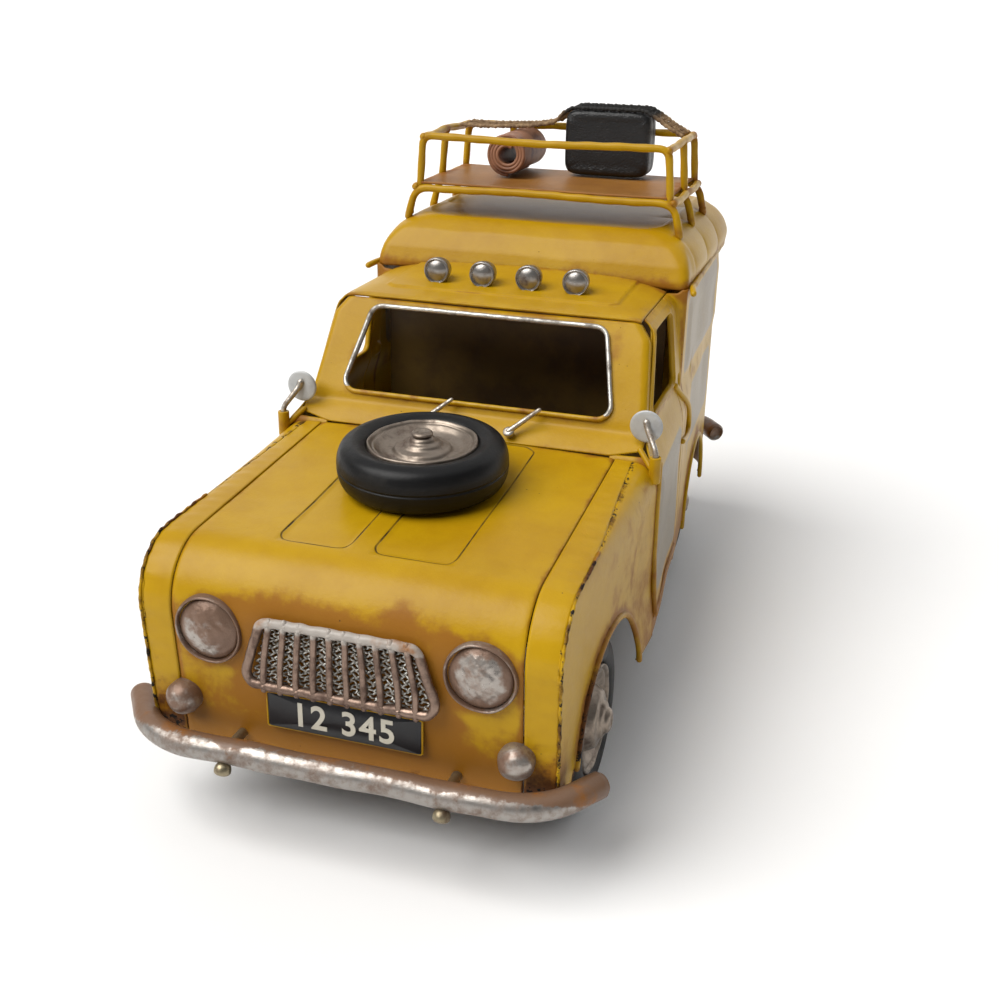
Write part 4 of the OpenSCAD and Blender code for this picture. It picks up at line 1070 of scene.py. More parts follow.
def turned(outline, place, axis=(0, -1, 0), sides=64, closed=False, oval=0.0):
    """A solid of revolution: an outline of (radius, height) pairs spun about the axis through place."""
    outline = np.asarray(outline, float)
    axis = np.asarray(axis, float) / np.linalg.norm(axis)
    e1 = np.cross(axis, (0.0, 0.0, 1.0) if abs(axis[2]) < 0.9 else (1.0, 0.0, 0.0))
    e1 /= np.linalg.norm(e1)
    e2 = np.cross(axis, e1)
    turn = np.linspace(0, 2 * np.pi, sides, endpoint=False)
    reach = outline[:, 0, None] * (1 + oval * np.cos(2 * turn))[None]
    points = (np.asarray(place, float) + reach[..., None]
              * (np.cos(turn)[:, None] * e1 + np.sin(turn)[:, None] * e2)
              + outline[:, 1, None, None] * axis)
    return grid(points, wrap_rows=closed, wrap_columns=True)


def plain_metal(name, colour, dark, rough=0.35, metallic=0.9, scale=1.0):
    """Bare metal with a cloudy tarnish, fine scratches and a little unevenness."""
    s = Shader(name)
    cloud, fine = s.noise(140 * scale, 4, 0.6), s.noise(1500 * scale, 3, 0.6)
    stain = s.step(0.45, 0.75, cloud)
    return s.finish({"Base Color": s.mix(stain, colour, dark), "Metallic": metallic - stain * 0.35,
                     "Roughness": rough + stain * 0.25 + (fine - 0.5) * 0.1}, cloud * 0.6 + fine * 0.3,
                     0.0003, 0.4)


brass = plain_metal("old_brass", (0.34, 0.29, 0.19), (0.10, 0.062, 0.035))
bolt_shapes = []
front_low, front_high = (np.array(c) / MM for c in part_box("front_bumper"))
rear_low, rear_high = (np.array(c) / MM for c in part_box("rear_bumper"))
bolt_outline = bent([(0, -7.2), (1.5, -7.1), (2.5, -6.3), (2.5, -4.6), (1.7, -3.4), (0, -3.0)], 0.7, 4)
for x, bumper_line, wall_line, z in ((33, front_low[1] + 3.6, face_foot[0] + 0.2,
                                      (front_low[2] + front_high[2]) / 2),
                                     (30, rear_high[1] - 3.6, tail - 0.6, (rear_low[2] + rear_high[2]) / 2)):
    for side in (-1, 1):
        bolt_way = (0, 0.55 if wall_line > bumper_line else -0.55, 1)
        bolt_shapes.append(turned(bolt_outline, (side * x, bumper_line, z), bolt_way, 20))
        bolt_shapes.append(sweep(np.linspace((side * x, bumper_line, z), (side * x, wall_line, z), 9), 1.55,
                                 14))
brackets = piece("bracket_set", bolt_shapes, brass, inside=(0, 0, 0))
ride_as(brackets, "car_body", "brass", "bumper_brackets")

# ---- Grille: a wire loop with ten upright bars soldered over it, and crimped wires behind them ----
# Copper-brown with silver showing along the top, where the solder was filed.

grille_box = [np.array(corner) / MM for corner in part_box("grille_frame")]
grille_y = (grille_box[0][1] + grille_box[1][1]) / 2
grille_foot, grille_head = grille_box[0][2] + 1.5, grille_box[1][2] - 1.5
grille_half = grille_box[1][0] - 1.5
loop = rounded([(-grille_half, grille_foot), (grille_half, grille_foot), (grille_half - 6.6, grille_head),
                (6.6 - grille_half, grille_head)], 3.6, 12)
loop = np.column_stack([loop[:, 0], np.full(len(loop), grille_y), loop[:, 1]])
loop = evened(np.concatenate([loop, loop[:1]]), 0.8)[:-1]
frame_wire, frame_faces = sweep(loop, 1.42 + 0.06 * np.sin(np.arange(len(loop)) * 1.1), 16, closed=True)
grille_shapes = [(lumps(frame_wire, 1.6, 0.10), frame_faces)]
for i in range(10):
    foot_x, head_x = -22.7 + 5.05 * i, -20 + 4.45 * i
    wiggle = 0.16 * math.sin(i * 2.4)
    bar = bent([(foot_x, grille_y - 0.35, grille_foot - 1.15),
                (foot_x * 0.96 + head_x * 0.04 + wiggle, grille_y - 0.5, 58),
                (head_x, grille_y - 0.35, grille_head + 0.6 + 0.3 * math.sin(i * 1.7))], 6, 6)
    bar_points, bar_faces = sweep(evened(bar, 0.9), 0.95, 12)
    grille_shapes.append((lumps(bar_points, 2.2, 0.07, i), bar_faces))
    for z in (grille_foot + 0.1, grille_head - 0.1):
        x = foot_x if z < 60 else head_x
        blob = turned(bent([(0, -0.9), (1.0, -0.75), (1.5 + 0.2 * math.sin(i * 3 + z), 0), (1.0, 0.75),
                            (0, 0.9)], 0.8, 4),
                      (x + 0.3, grille_y - 0.15, z), (0, 0, 1), 12)
        grille_shapes.append((lumps(blob[0], 0.9, 0.16, i * 1.3), blob[1]))
grille_copper = worn_silver("grille_copper", (0.29, 0.205, 0.16), (0.07, 0.034, 0.022),
                            paint=(0.40, 0.36, 0.32))
grille = piece("grille_bars", grille_shapes, grille_copper, inside=(0, 0, 0),
               marks={"paint": lambda p: 0.42 * smooth(67.5, 71.5, p[:, 2]) + 0.22})
ride_as(grille, "car_body", "grille_wire", "grille_frame")

zigzag_rows = np.linspace(grille_foot + 0.6, grille_head - 0.6, 88)
zigzag = []
for i in range(30):
    share = (i - 14.5) / 15.0
    half_at = np.interp(zigzag_rows, [grille_foot, grille_head], [grille_half - 2.4, grille_half - 8.4])
    wave = np.abs(np.mod(zigzag_rows / 1.15 + 0.5 * (i % 2), 2) - 1) - 0.5
    line = np.stack([share * half_at + wave * 2.1,
                     grille_y + 0.9 + 0.3 * np.sin(zigzag_rows * 5 + i * math.pi),
                     zigzag_rows], -1)
    zigzag.append(sweep(line, 0.34, 6))
gauze = worn_silver("gauze_silver", (0.55, 0.54, 0.50), (0.10, 0.07, 0.04), scale=2.0)
mesh_wires = piece("grille_gauze", zigzag, gauze, inside=(0, 0, 0))
ride_as(mesh_wires, "car_body", "bare_steel", "grille_mesh")

# ---- Number plates: enamelled tin, black, with plain figures that count upwards and mean nothing ----


def slab(outline, front, back):
    """A flat plate in the x-z plane, from y = front to y = back, with a small bevel round its front
    edge."""
    middle = outline.mean(0)
    rings = [(0.0, back), (1.0, back), (1.0, front + np.sign(back - front) * 0.25), (1 - 0.25 / 8, front),
             (0.0, front)]
    points = [np.column_stack([middle[0] + (outline[:, 0] - middle[0]) * k, np.full(len(outline), y),
                               middle[1] + (outline[:, 1] - middle[1]) * k]) for k, y in rings]
    return grid(np.array(points), wrap_columns=True)


def enamel(name, colour, worn, rough=0.28):
    """Stoved enamel: a smooth colour with small rubbed spots and fine scratches."""
    s = Shader(name)
    cloud, fine = s.noise(160, 4, 0.6), s.noise(1100, 3, 0.65)
    rub = s.step(0.74, 0.82, cloud * 0.5 + fine * 0.62)
    return s.finish({"Base Color": s.mix(rub, colour, worn), "Roughness": rough + cloud * 0.12 + rub * 0.3},
                    fine * 0.3 - rub * 0.6 + cloud * 0.3, 0.0002, 0.4)


black_enamel = enamel("plate_black", (0.006, 0.006, 0.008), (0.05, 0.035, 0.02))
bone_enamel = enamel("figure_white", (0.62, 0.58, 0.48), (0.20, 0.14, 0.08))
low, high = (np.array(c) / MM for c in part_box("number_plates"))
plate_half = high[0]
plates = []
plate_edges = []
for way, face_y, foot in ((-1, low[1], low[2]), (1, high[1], high[2] - 11)):
    outline = rounded([(-plate_half, foot), (plate_half, foot), (plate_half, foot + 11),
                       (-plate_half, foot + 11)], 0.6, 5)
    plates.append(slab(outline, face_y, face_y - way * 0.75))
    edge = np.column_stack([outline[:, 0], np.full(len(outline), face_y - way * 0.35), outline[:, 1]])
    plate_edges.append(sweep(edge, 0.32, 8, closed=True))
plate_set = piece("plate_pair", plates, black_enamel, inside=(0, 0, 0))
ride_as(plate_set, "car_body", "plate_enamel", "number_plates")
edge_set = piece("plate_edges", plate_edges, mustard, inside=(0, 0, 0), marks={
    "wash": lambda p: np.full(len(p), 0.62), "wear": lambda p: np.full(len(p), 0.45)})
ride_as(edge_set, "car_body", "body_paint")
for name, way, face_y, foot in (("front", -1, low[1], low[2]), ("rear", 1, high[1], high[2] - 11)):
    letters = bpy.data.curves.new(name + "_figures", "FONT")
    letters.body = "12 345"
    letters.align_x, letters.align_y = "CENTER", "CENTER"
    letters.size = 10.4 * MM
    letters.extrude = 0.12 * MM
    letters.offset = 0.22 * MM
    letters.space_character = 1.12
    written = bpy.data.objects.new(name + "_figures", letters)
    bpy.context.collection.objects.link(written)
    mesh = bpy.data.meshes.new_from_object(written.evaluated_get(bpy.context.evaluated_depsgraph_get()))
    bpy.data.objects.remove(written)
    turn = Matrix.Rotation(math.pi / 2, 4, "X") if way < 0 else Matrix.Rotation(math.pi, 4,
            "Z") @ Matrix.Rotation(math.pi / 2, 4, "X")
    mesh.transform(Matrix.Translation((0, (face_y + way * 0.02) * MM,
                                       (foot + 5.1) * MM)) @ turn @ Matrix.Diagonal((0.98, 1.02, 1, 1)))
    mesh.materials.clear()
    mesh.materials.append(bone_enamel)
    figures = bpy.data.objects.new(name + "_number", mesh)
    bpy.context.collection.objects.link(figures)
    ride_as(figures, "car_body", "plate_enamel")

# ---- Lamps: pressed tin domes in rolled rims, all the same dull silver as the bumpers ----
# The headlight domes are dented by hand. The four roof lamps are brighter cups, and the tail lamps are red.


def lamp_silver(name, bright, dull):
    """Rubbed silver over brown: large soft patches of bright metal, a brown glaze at the rim and small
    pits."""
    s = Shader(name)
    broad, middle, fine = s.noise(75, 3, 0.5, warp=0.8), s.noise(330, 4, 0.62), s.noise(1700, 3)
    patch = s.step(0.36, 0.66, broad + (middle - 0.5) * 0.75 - s.mark("rim") * 0.35)
    colour = s.mix(patch, dull, bright)
    pit = s.step(0.70, 0.76, middle * 0.6 + fine * 0.5)
    return s.finish({"Base Color": s.mix(pit * 0.7, colour, (0.05, 0.03, 0.02)),
                     "Metallic": 0.35 + patch * 0.4,
                     "Roughness": 0.37 - patch * 0.08 + (fine - 0.5) * 0.12},
                    broad * 0.5 + middle * 0.7 + fine * 0.25 - pit * 0.3, 0.0005, 0.55)


dull_silver = lamp_silver("lamp_silver", (0.40, 0.36, 0.325), (0.19, 0.115, 0.078))
rim_line = bent([(9.35, 0.2), (10.35, 0.2), (10.42, 3.6), (10.45, 5.5), (10.1, 6.35), (9.6, 6.3),
                 (9.35, 5.4)], 0.7, 6)
dome_turn = np.linspace(math.radians(47.6), math.pi / 2, 26)
dome_line = np.concatenate([[(0, 2.9), (9.1, 2.9)],
                            np.stack([13.5 * np.cos(dome_turn), -4.9 + 13.5 * np.sin(dome_turn)], -1)])
rims, domes = [], []
for side in (-1, 1):
    place = np.array([side * lamp_x, lamp_high[1], lamp_z])
    ring, ring_faces = turned(rim_line, place, sides=96, closed=True, oval=0.004 * side)
    rims.append((lumps(ring, 3.0, 0.10, side * 2), ring_faces))
    dome, dome_faces = turned(dome_line, place, sides=72)
    front = smooth(place[1] - 4.5, place[1] - 7, dome[:, 1])
    knocks = dents(dome, [place + np.array(k)
                          for k in ((-2.5, -8.2, -1.5), (3, -8, 3.5), (-4, -7.6, 4), (4.5, -7.6, -4),
                                                        (0, -8, -5.5))],
                   [3.2, 2.2, 2.4, 2.6, 2.0], [0.55, 0.35, 0.35, 0.4, 0.3])
    dome[:, 1] += front * knocks + 0.12 * front * np.sin(dome[:, 0] * 1.9
            + np.sin(dome[:, 2] * 1.3)) * np.sin(dome[:, 2] * 1.6)
    domes.append((dome, dome_faces))


def lamp_rim_mark(p):
    """1 at the edge of a headlight dome, 0 in its middle."""
    return smooth(5.5, 9.5, np.hypot(np.abs(p[:, 0]) - lamp_x, p[:, 2] - lamp_z))


bezels = piece("headlight_rims", rims, dull_silver, inside=(0, 0, 0),
               marks={"rim": lambda p: np.full(len(p), 0.35)})
ride_as(bezels, "car_body", "antique_silver", "headlight_bezels")
glasses = piece("headlight_domes", domes, dull_silver, inside=(0, 0, 0), marks={"rim": lamp_rim_mark})
ride_as(glasses, "car_body", "antique_silver", "headlight_lenses")

fog_low, fog_high = (np.array(c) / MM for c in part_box("fog_lamps"))
fog_radius = (fog_high[2] - fog_low[2]) / 2
fog_x, fog_z = fog_high[0] - fog_radius, (fog_high[2] + fog_low[2]) / 2
fog_line = np.concatenate([[(0, 0), (4.9, 0), (5.15, 3.4), (5.2, 5.4)],
                           np.stack([5.2 * np.cos(t := np.linspace(0.1, np.pi / 2, 16)),
                                     5.2 + 5.1 * np.sin(t)], -1)])
fogs = []
for side in (-1, 1):
    ball, ball_faces = turned(fog_line, (side * fog_x, fog_high[1], fog_z), sides=56)
    fogs.append((lumps(ball, 1.7, 0.10, side), ball_faces))
fog_set = piece("fog_balls", fogs, dull_silver, inside=(0, 0, 0),
                marks={"rim": lambda p: smooth(-141, -139, p[:, 1]) + 0.1})
ride_as(fog_set, "car_body", "antique_silver", "fog_lamps")

cup_low, cup_high = (np.array(c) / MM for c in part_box("roof_lamps"))
cup_radius = (cup_high[2] - cup_low[2]) / 2
cup_z = (cup_high[2] + cup_low[2]) / 2
cup_reach = cup_high[1] - cup_low[1]
cup_line = bent([(0, 0), (2.4, 0), (4.0, 2.8), (4.7, 6.6), (4.75, 8.0), (4.3, 8.6), (3.95, 8.1)], 0.8, 5)
glass_turn = np.linspace(math.radians(52), math.pi / 2, 14)
cup_line = np.concatenate([cup_line, np.stack([6.4 * np.cos(glass_turn), 2.75 + 6.4 * np.sin(glass_turn)],
        -1)])
cups = [turned(cup_line * [cup_radius / 4.8, cup_reach / 9.25], (x, cup_high[1], cup_z), sides=48)
        for x in (-25.6, -8.5, 8.5, 25.6)]
cup_silver = plain_metal("cup_silver", (0.34, 0.32, 0.30), (0.07, 0.045, 0.035), 0.3, 0.9, 1.6)
cup_set = piece("roof_lamp_cups", cups, cup_silver, inside=(0, 0, 0))
ride_as(cup_set, "car_body", "antique_silver", "roof_lamps")

red_enamel = enamel("tail_red", (0.30, 0.012, 0.008), (0.06, 0.01, 0.006), 0.2)
tail_low, tail_high = (np.array(c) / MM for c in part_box("tail_lamps"))
tail_x = tail_high[0] - 4.4
tail_z = (tail_high[2] + tail_low[2]) / 2
tail_line = bent([(0, 0), (4.3, 0), (4.35, 1.6), (3.9, 2.2), (3.4, 2.3), (2.4, 3.0), (0, 3.35)], 0.7, 5)
tails = [turned(tail_line, (side * tail_x, tail_low[1], tail_z), (0, 1, 0), 40) for side in (-1, 1)]
tail_set = piece("tail_lamp_domes", tails, red_enamel, inside=(0, 0, 0))
ride_as(tail_set, "car_body", "red_enamel", "tail_lamps")

# ---- Wheels: moulded rubber tyres on pressed rims with a stepped hub ----
# The road wheels and the spare are alike. The rims are tarnished silver, dull and brown in the dish.

half_width = (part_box("front_left_tyre")[1][0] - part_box("front_left_tyre")[0][0]) / 2 / MM
rim_radius = (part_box("front_left_rim")[1][2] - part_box("front_left_rim")[0][2]) / 2 / MM
rubber_shader = Shader("tyre_rubber")
dust, grain = rubber_shader.noise(120, 5, 0.65), rubber_shader.noise(1300, 3, 0.6)
dusty = rubber_shader.step(0.5, 0.8, dust)
rubber = rubber_shader.finish({"Base Color": rubber_shader.mix(dusty * 0.6, (0.0045, 0.0045, 0.005),
        (0.022, 0.020, 0.018)),
                               "Roughness": 0.40 + dusty * 0.25 + (grain - 0.5) * 0.12, "IOR": 1.33},
                               dust * 0.6 + grain * 0.4, 0.0003, 0.35)
rim_silver = worn_silver("rim_silver", (0.30, 0.25, 0.205), (0.075, 0.045, 0.03), scale=0.8)
tyre_outline = np.array([(rim_radius + 0.05, -half_width + 1.4), (rim_radius + 1.6, -half_width + 0.5),
                         (rim_radius + 3.4, -half_width + 0.05),
                         (wheel_radius - 4.6, -half_width + 0.05), (wheel_radius - 1.6, -half_width + 1.3),
                         (wheel_radius - 0.3, -half_width + 4.2),
                         (wheel_radius - 0.05, -0.9), (wheel_radius - 0.02, -0.45),
                         (wheel_radius - 0.32, -0.15), (wheel_radius - 0.32, 0.15),
                         (wheel_radius - 0.02, 0.45), (wheel_radius - 0.05, 0.9),
                         (wheel_radius - 0.3, half_width - 4.2),
                         (wheel_radius - 1.6, half_width - 1.3), (wheel_radius - 4.6, half_width - 0.05),
                         (rim_radius + 3.4, half_width - 0.05),
                         (rim_radius + 1.6, half_width - 0.5), (rim_radius + 0.05, half_width - 1.4)])
tyre_line = bent(tyre_outline, 1.5, 5)


def rim_outline(crown):
    """Half section of a rim: flat hub cap, two steps, the dish and the rolled lip; crown lifts the hub."""
    h, r = half_width, rim_radius
    front = [(0, h + 1.55 + crown), (1.5, h + 1.5 + crown), (1.75, h + 1.9 + crown), (2.7, h + 1.95 + crown),
             (3.8, h + 1.3 + crown),
             (4.1, h + 0.4 + crown), (5.4, h + crown), (6.1, h - 1.1 + crown), (8.5, h - 1.6 + crown),
             (9.3, h - 2.9 + crown), (11, h - 3.9), (13.2, h - 3.0), (15.0, h - 1.6), (15.5, h - 1.9),
             (16.0, h - 0.9),
             (16.8, h - 0.55), (r - 0.15, h - 1.2), (r - 0.05, h - 2.4)]
    back = [(r - 0.05, -h + 2.1), (r - 1.2, -h + 2.1), (r - 1.3, h - 4.2), (12, h - 6), (5, h - 6),
            (5, -h + 4), (0, -h + 4)]
    return bent(front + back, 0.55, 4)


def wheel(name, place, axis, crown, body, tyre_node, rim_node):
    tyre = piece(name + "_rubber", [turned(tyre_line, place, axis, 128, closed=True)], rubber,
                 inside=(0, 0, 0))
    ride_as(tyre, body, "tyre_rubber", tyre_node)
    disc, disc_faces = turned(rim_outline(crown), place, axis, 96)
    rim = piece(name + "_disc", [(lumps(disc, 2.6, 0.09, len(name)), disc_faces)], rim_silver,
                inside=(0, 0, 0))
    ride_as(rim, body, "antique_silver", rim_node)


for end in ("front", "rear"):
    for side, sign in (("left", 1), ("right", -1)):
        name = end + "_" + side
        place = np.mean([np.array(corner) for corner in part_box(name + "_tyre")], axis=0) / MM
        wheel(name, place, (sign, 0, 0), 2.0, end + "_wheels", name + "_tyre", name + "_rim")
spare_tilt = math.atan(hood_fall)
spare_axis = np.array([0, -math.sin(spare_tilt), math.cos(spare_tilt)])
spare_place = np.mean([np.array(corner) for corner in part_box("spare_tyre")], axis=0) / MM
wheel("spare", spare_place, spare_axis, -1.0, "car_body", "spare_tyre", "spare_rim")
bolt_line = bent([(0, -8), (2.4, -8), (2.4, half_width + 1.15), (3.3, half_width + 1.2),
                  (3.3, half_width + 1.9),
                  (2.6, half_width + 2.35), (1.7, half_width + 2.3), (1.3, half_width + 2.05),
                  (0, half_width + 2.05)], 0.3, 4)
spare_bolt = piece("spare_cap", [turned(bolt_line, spare_place, spare_axis, 40)], rim_silver,
                   inside=(0, 0, 0))
ride_as(spare_bolt, "car_body", "antique_silver", "spare_bolt")

# ---- Mirrors and wipers: tin discs on wire stalks that turn in yellow sockets, and two fixed wiper arms ----

mirror_shader = Shader("mirror_tin")
mirror_cloud = mirror_shader.noise(200, 3)
mirror_tin = mirror_shader.finish({"Base Color": mirror_shader.mix(mirror_shader.step(0.4, 0.75,
        mirror_cloud), (0.50, 0.51, 0.51), (0.36, 0.36, 0.36)),
                                   "Metallic": 0.15, "Roughness": 0.42}, mirror_cloud, 0.0002, 0.4)
stalk_silver = worn_silver("stalk_silver", (0.58, 0.54, 0.48), (0.14, 0.085, 0.05), scale=1.6)
disc_line = bent([(0, -0.7), (4.9, -0.7), (5.4, -0.2), (5.4, 0.3), (4.9, 0.62), (3.5, 0.68), (0, 0.6)], 0.4,
                 5)
socket_shapes = []
for side, sign in (("left", 1), ("right", -1)):
    low, high = (np.array(c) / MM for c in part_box(side + "_mirror"))
    socket_x, socket_y = sign * 65.5, hood_rear - 2
    disc_place = (sign * 60.8, high[1] - 0.7, (high[2] - 5.5))
    disc = piece(side + "_mirror_glass", [turned(disc_line, disc_place, sides=64)], mirror_tin,
                 inside=(0, 0, 0))
    ride_as(disc, side + "_mirror_head", "mirror_grey", side + "_mirror")
    stalk_path = bent([(socket_x, socket_y, 87.4), (socket_x, socket_y, 96.4),
                       (sign * 61.3, high[1] - 2.0, 103.0),
                       (sign * 60.9, high[1] - 1.7, 104.6)], 1.6, 6)
    stalk, stalk_faces = sweep(evened(stalk_path, 0.7),
                               np.interp(np.linspace(0, 1, len(evened(stalk_path, 0.7))), [0, 0.5, 0.8, 1],
                                         [0.92, 0.92, 1.0, 1.1]), 14)
    stalk_piece = piece(side + "_mirror_stalk", [(stalk, stalk_faces)], stalk_silver, inside=(0, 0, 0))
    ride_as(stalk_piece, side + "_mirror_head", "antique_silver")
    socket_line = bent([(1.05, 9), (1.9, 9), (1.95, 8.4), (1.95, 0.5), (1.5, 0), (0, 0), (0, 0.8),
                        (1.05, 0.8)], 0.25, 4)
    socket_shapes.append(turned(np.concatenate([socket_line, socket_line[:1]]), (socket_x, socket_y, 86),
                                (0, 0, 1), 32))
    socket_shapes.append(sweep(evened([(sign * 59.6, hood_rear + 2.2, hood_top + 2.4),
                                       (sign * 64.4, socket_y + 0.6, 90.4)], 0.8), 0.95, 12))
sockets = piece("mirror_tubes", socket_shapes, mustard, inside=(0, 0, 0), marks={
    "wash": lambda p: 0.3 + 0.3 * smooth(90, 86, p[:, 2]), "wear": lambda p: np.full(len(p), 0.3)})
ride_as(sockets, "car_body", "body_paint", "mirror_sockets")

wiper_shapes = []
for x in (-15.4, 15.4):
    arm = evened([(x, hood_rear + 0.8, 96.6), (x + 2.5, hood_rear + 2.2, 98.5),
                  (x + 9, hood_rear + 5.6, 103.6)], 0.7)
    wiper_shapes.append(sweep(arm, np.linspace(1.0, 0.72, len(arm)), 12))
    pivot = bent([(0, 0.1), (1.4, 0.1), (1.45, 1.7), (1.9, 1.8), (1.9, 2.6), (1.2, 3.0), (0, 3.05)], 0.25, 4)
    wiper_shapes.append(turned(pivot, (x, hood_rear + 2.25, 94.68), (0, -0.615, 0.788), 28))
wipers = piece("wiper_pair", wiper_shapes, stalk_silver, inside=(0, 0, 0))
ride_as(wipers, "car_body", "antique_silver", "wipers")

# ---- Roof rack: soft wire bent by hand and soldered, brushed with the body's yellow, over a brown deck ----
# The front wires of both tiers turn down at their ends as legs and posts. Brown collects at every joint.

rack_low, rack_high = (np.array(c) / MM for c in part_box("roof_rack"))
wire_radius = 1.3
rack_front, rack_rear = rack_low[1] + wire_radius, rack_high[1] - wire_radius
rail_z = rack_high[2] - wire_radius
deck_low, deck_high = (np.array(c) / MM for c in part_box("rack_deck"))
frame_z = deck_low[2] - wire_radius - 0.02
leg_foot = rack_low[2] + 0.2


def gate(y, low_x, high_x, foot, head, radius, bow=0.0):
    """An upside-down U of wire across the car: up at one side, over with a slight bow, and down at the
    other."""
    path = bent([(-low_x, y, foot), (-high_x, y, head), (0, y, head + bow), (high_x, y, head),
                 (low_x, y, foot)], radius, 8)
    return evened(path, 1.5)


def wobble(path, amount, seed):
    """A path pushed off true by slow waves, except near its ends."""
    t = np.linspace(0, 1, len(path))
    ease = np.minimum(1, 6 * np.minimum(t, 1 - t))[:, None]
    shift = np.stack([np.sin(t * 9 + seed), np.sin(t * 7 + 2 * seed), np.sin(t * 11 + 3 * seed)], -1)
    return path + amount * ease * shift


leg_half, rack_middle = 53.4, 74
wires = []
for y, seed in ((rack_front, 1), (74, 2), (rack_rear, 3)):
    wires.append(wobble(gate(y, leg_half, 50.6, leg_foot, frame_z, 5.5), 0.25, seed))
wires.append(wobble(gate(rack_front + 1.2, 48.9, 47.4, frame_z, rail_z, 3.6, -0.4), 0.2, 4))
wires.append(wobble(gate(rack_rear, 48.9, 47.4, frame_z, rail_z, 3.6, 0.2), 0.2, 5))
for side in (-1, 1):
    wires.append(wobble(evened(bent([(side * 50.4, rack_front + 0.3, frame_z),
                                     (side * 50.8, rack_middle, frame_z - 0.2),
                                     (side * 50.4, rack_rear - 0.3, frame_z)], 20), 1.5), 0.2, 6 + side))
    wires.append(wobble(evened(bent([(side * 47.2, rack_front + 1.4, rail_z - 0.4),
                                     (side * 47.7, rack_middle, rail_z + 0.1),
                                     (side * 47.2, rack_rear - 0.2, rail_z - 0.3)], 20), 1.5), 0.25,
                                     8 + side))
    wires.append(evened([(side * 49.6, rack_middle, frame_z), (side * 47.9, rack_middle, rail_z - 0.6)], 1.5))
wires.append(evened([(-28, rack_rear, frame_z), (-28, rack_rear, rail_z - 0.4)], 1.5))
rack_shapes = []
for number, path in enumerate(wires):
    tube, faces = sweep(path, 1.42 + 0.06 * np.sin(np.arange(len(path)) * 0.9 + number), 14)
    rack_shapes.append((lumps(tube, 3.0, 0.05, number), faces))
joints = np.array([(side * x, y, z) for side in (-1, 1) for x, y, z in
                   ((50.3, rack_front, frame_z), (50.3, rack_middle, frame_z), (50.3, rack_rear, frame_z),
                    (47.4, rack_front + 1.2, rail_z),
                    (47.6, rack_middle, rail_z), (47.3, rack_rear, rail_z),
                    (leg_half, rack_front, leg_foot + 1),
                    (leg_half, rack_middle, leg_foot + 1), (leg_half, rack_rear, leg_foot + 1))])
for number, joint in enumerate(joints):
    drop = bent([(0, -1.5), (1.1, -1.2), (1.62, 0), (1.1, 1.2), (0, 1.5)], 1.0, 5)
    blob, faces = turned(drop, np.clip(joint, rack_low + 1.7, rack_high - 1.7), (0, 0, 1), 14)
    rack_shapes.append((lumps(blob, 1.2, 0.16, number), faces))


def rack_marks(p):
    """Wash at the joints, a slow wave across the car, and more towards the rear."""
    near = np.exp(-((p[:, None] - joints[None]) ** 2).sum(-1).min(1) / 14)
    return np.clip(0.22 + 0.5 * near + 0.12 * np.sin(p[:, 0] * 0.4) + 0.2 * smooth(80, 100, p[:, 1]), 0, 1)


rack = piece("rack_wires", rack_shapes, mustard, inside=(0, 0, 0),
             marks={"wash": rack_marks, "wear": lambda p: np.full(len(p), 0.28)})
ride_as(rack, "car_body", "body_paint", "roof_rack")

deck_x, deck_y = np.meshgrid(np.linspace(deck_low[0] + 0.1, deck_high[0] - 0.1, 90),
                             np.linspace(deck_low[1] + 0.1, deck_high[1] - 0.1, 60))
deck_sag = 0.3 * np.sin(deck_x * 0.09) * np.sin(deck_y * 0.13) - 0.25 * np.cos(deck_x / deck_high[0] * 1.5)
deck_top = np.stack([deck_x, deck_y, deck_high[2] - 0.35 + deck_sag * 0.5], -1)
brown_paint = painted_tin("brown_enamel", (0.33, 0.145, 0.024), (0.20, 0.075, 0.014), rough=0.45)
deck = piece("deck_sheet", [grid(deck_top)], brown_paint, wall=0.8, inside=(0, 70, 100), marks={
    "wash": lambda p: 0.25 + 0.5 * smooth(42, 48, np.abs(p[:, 0])) + 0.3 * smooth(90, 101, p[:, 1]),
    "wear": lambda p: 0.3 * smooth(45, 49, np.abs(p[:, 0]))})
ride_as(deck, "car_body", "brown_paint", "rack_deck")

# ---- Luggage: a black case, a rolled mat and a knotted net over both ----
# The case has a sunk panel in each face and a lid seam. The mat is one sheet wound on itself.

case_low, case_high = (np.array(c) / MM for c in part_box("suitcase"))


def grained_leather(name, colour):
    """Pebbled leather: rounded cells with dark creases between them, and a polish where the cells
    stand up."""
    s = Shader(name)
    cell = s.node("TexVoronoi", {"feature": "DISTANCE_TO_EDGE"}, {"Vector": s.place(), "Scale": 900.0})
    pebble = s.step(0.0, 0.35, cell)
    scuff = s.step(0.55, 0.8, s.noise(180, 4, 0.6))
    return s.finish({"Base Color": s.mix(scuff * 0.5, colour, (0.045, 0.043, 0.04)),
                     "Roughness": 0.46 - pebble * 0.10 + scuff * 0.2}, pebble * 0.5 + s.noise(90, 3) * 0.6,
                     0.0004, 0.5)


case_half = (case_high - case_low) / 2
case_middle = (case_high + case_low) / 2
levels = np.linspace(0, 1, 49)
case_turn = np.linspace(0, 2 * np.pi, 160, endpoint=False)


def soft_box(half, u, v, power):
    """A box with round edges: the direction given by the angles u and v, scaled until |x|^p + |y|^p +
    |z|^p = 1."""
    x, y, z = np.cos(v) * np.cos(u), np.sin(v) + 0 * u, np.cos(v) * np.sin(u)
    ray = np.stack([x, y, z], -1)
    scale = (np.abs(ray / half) ** power).sum(-1) ** (-1 / power)
    return ray * scale[..., None]


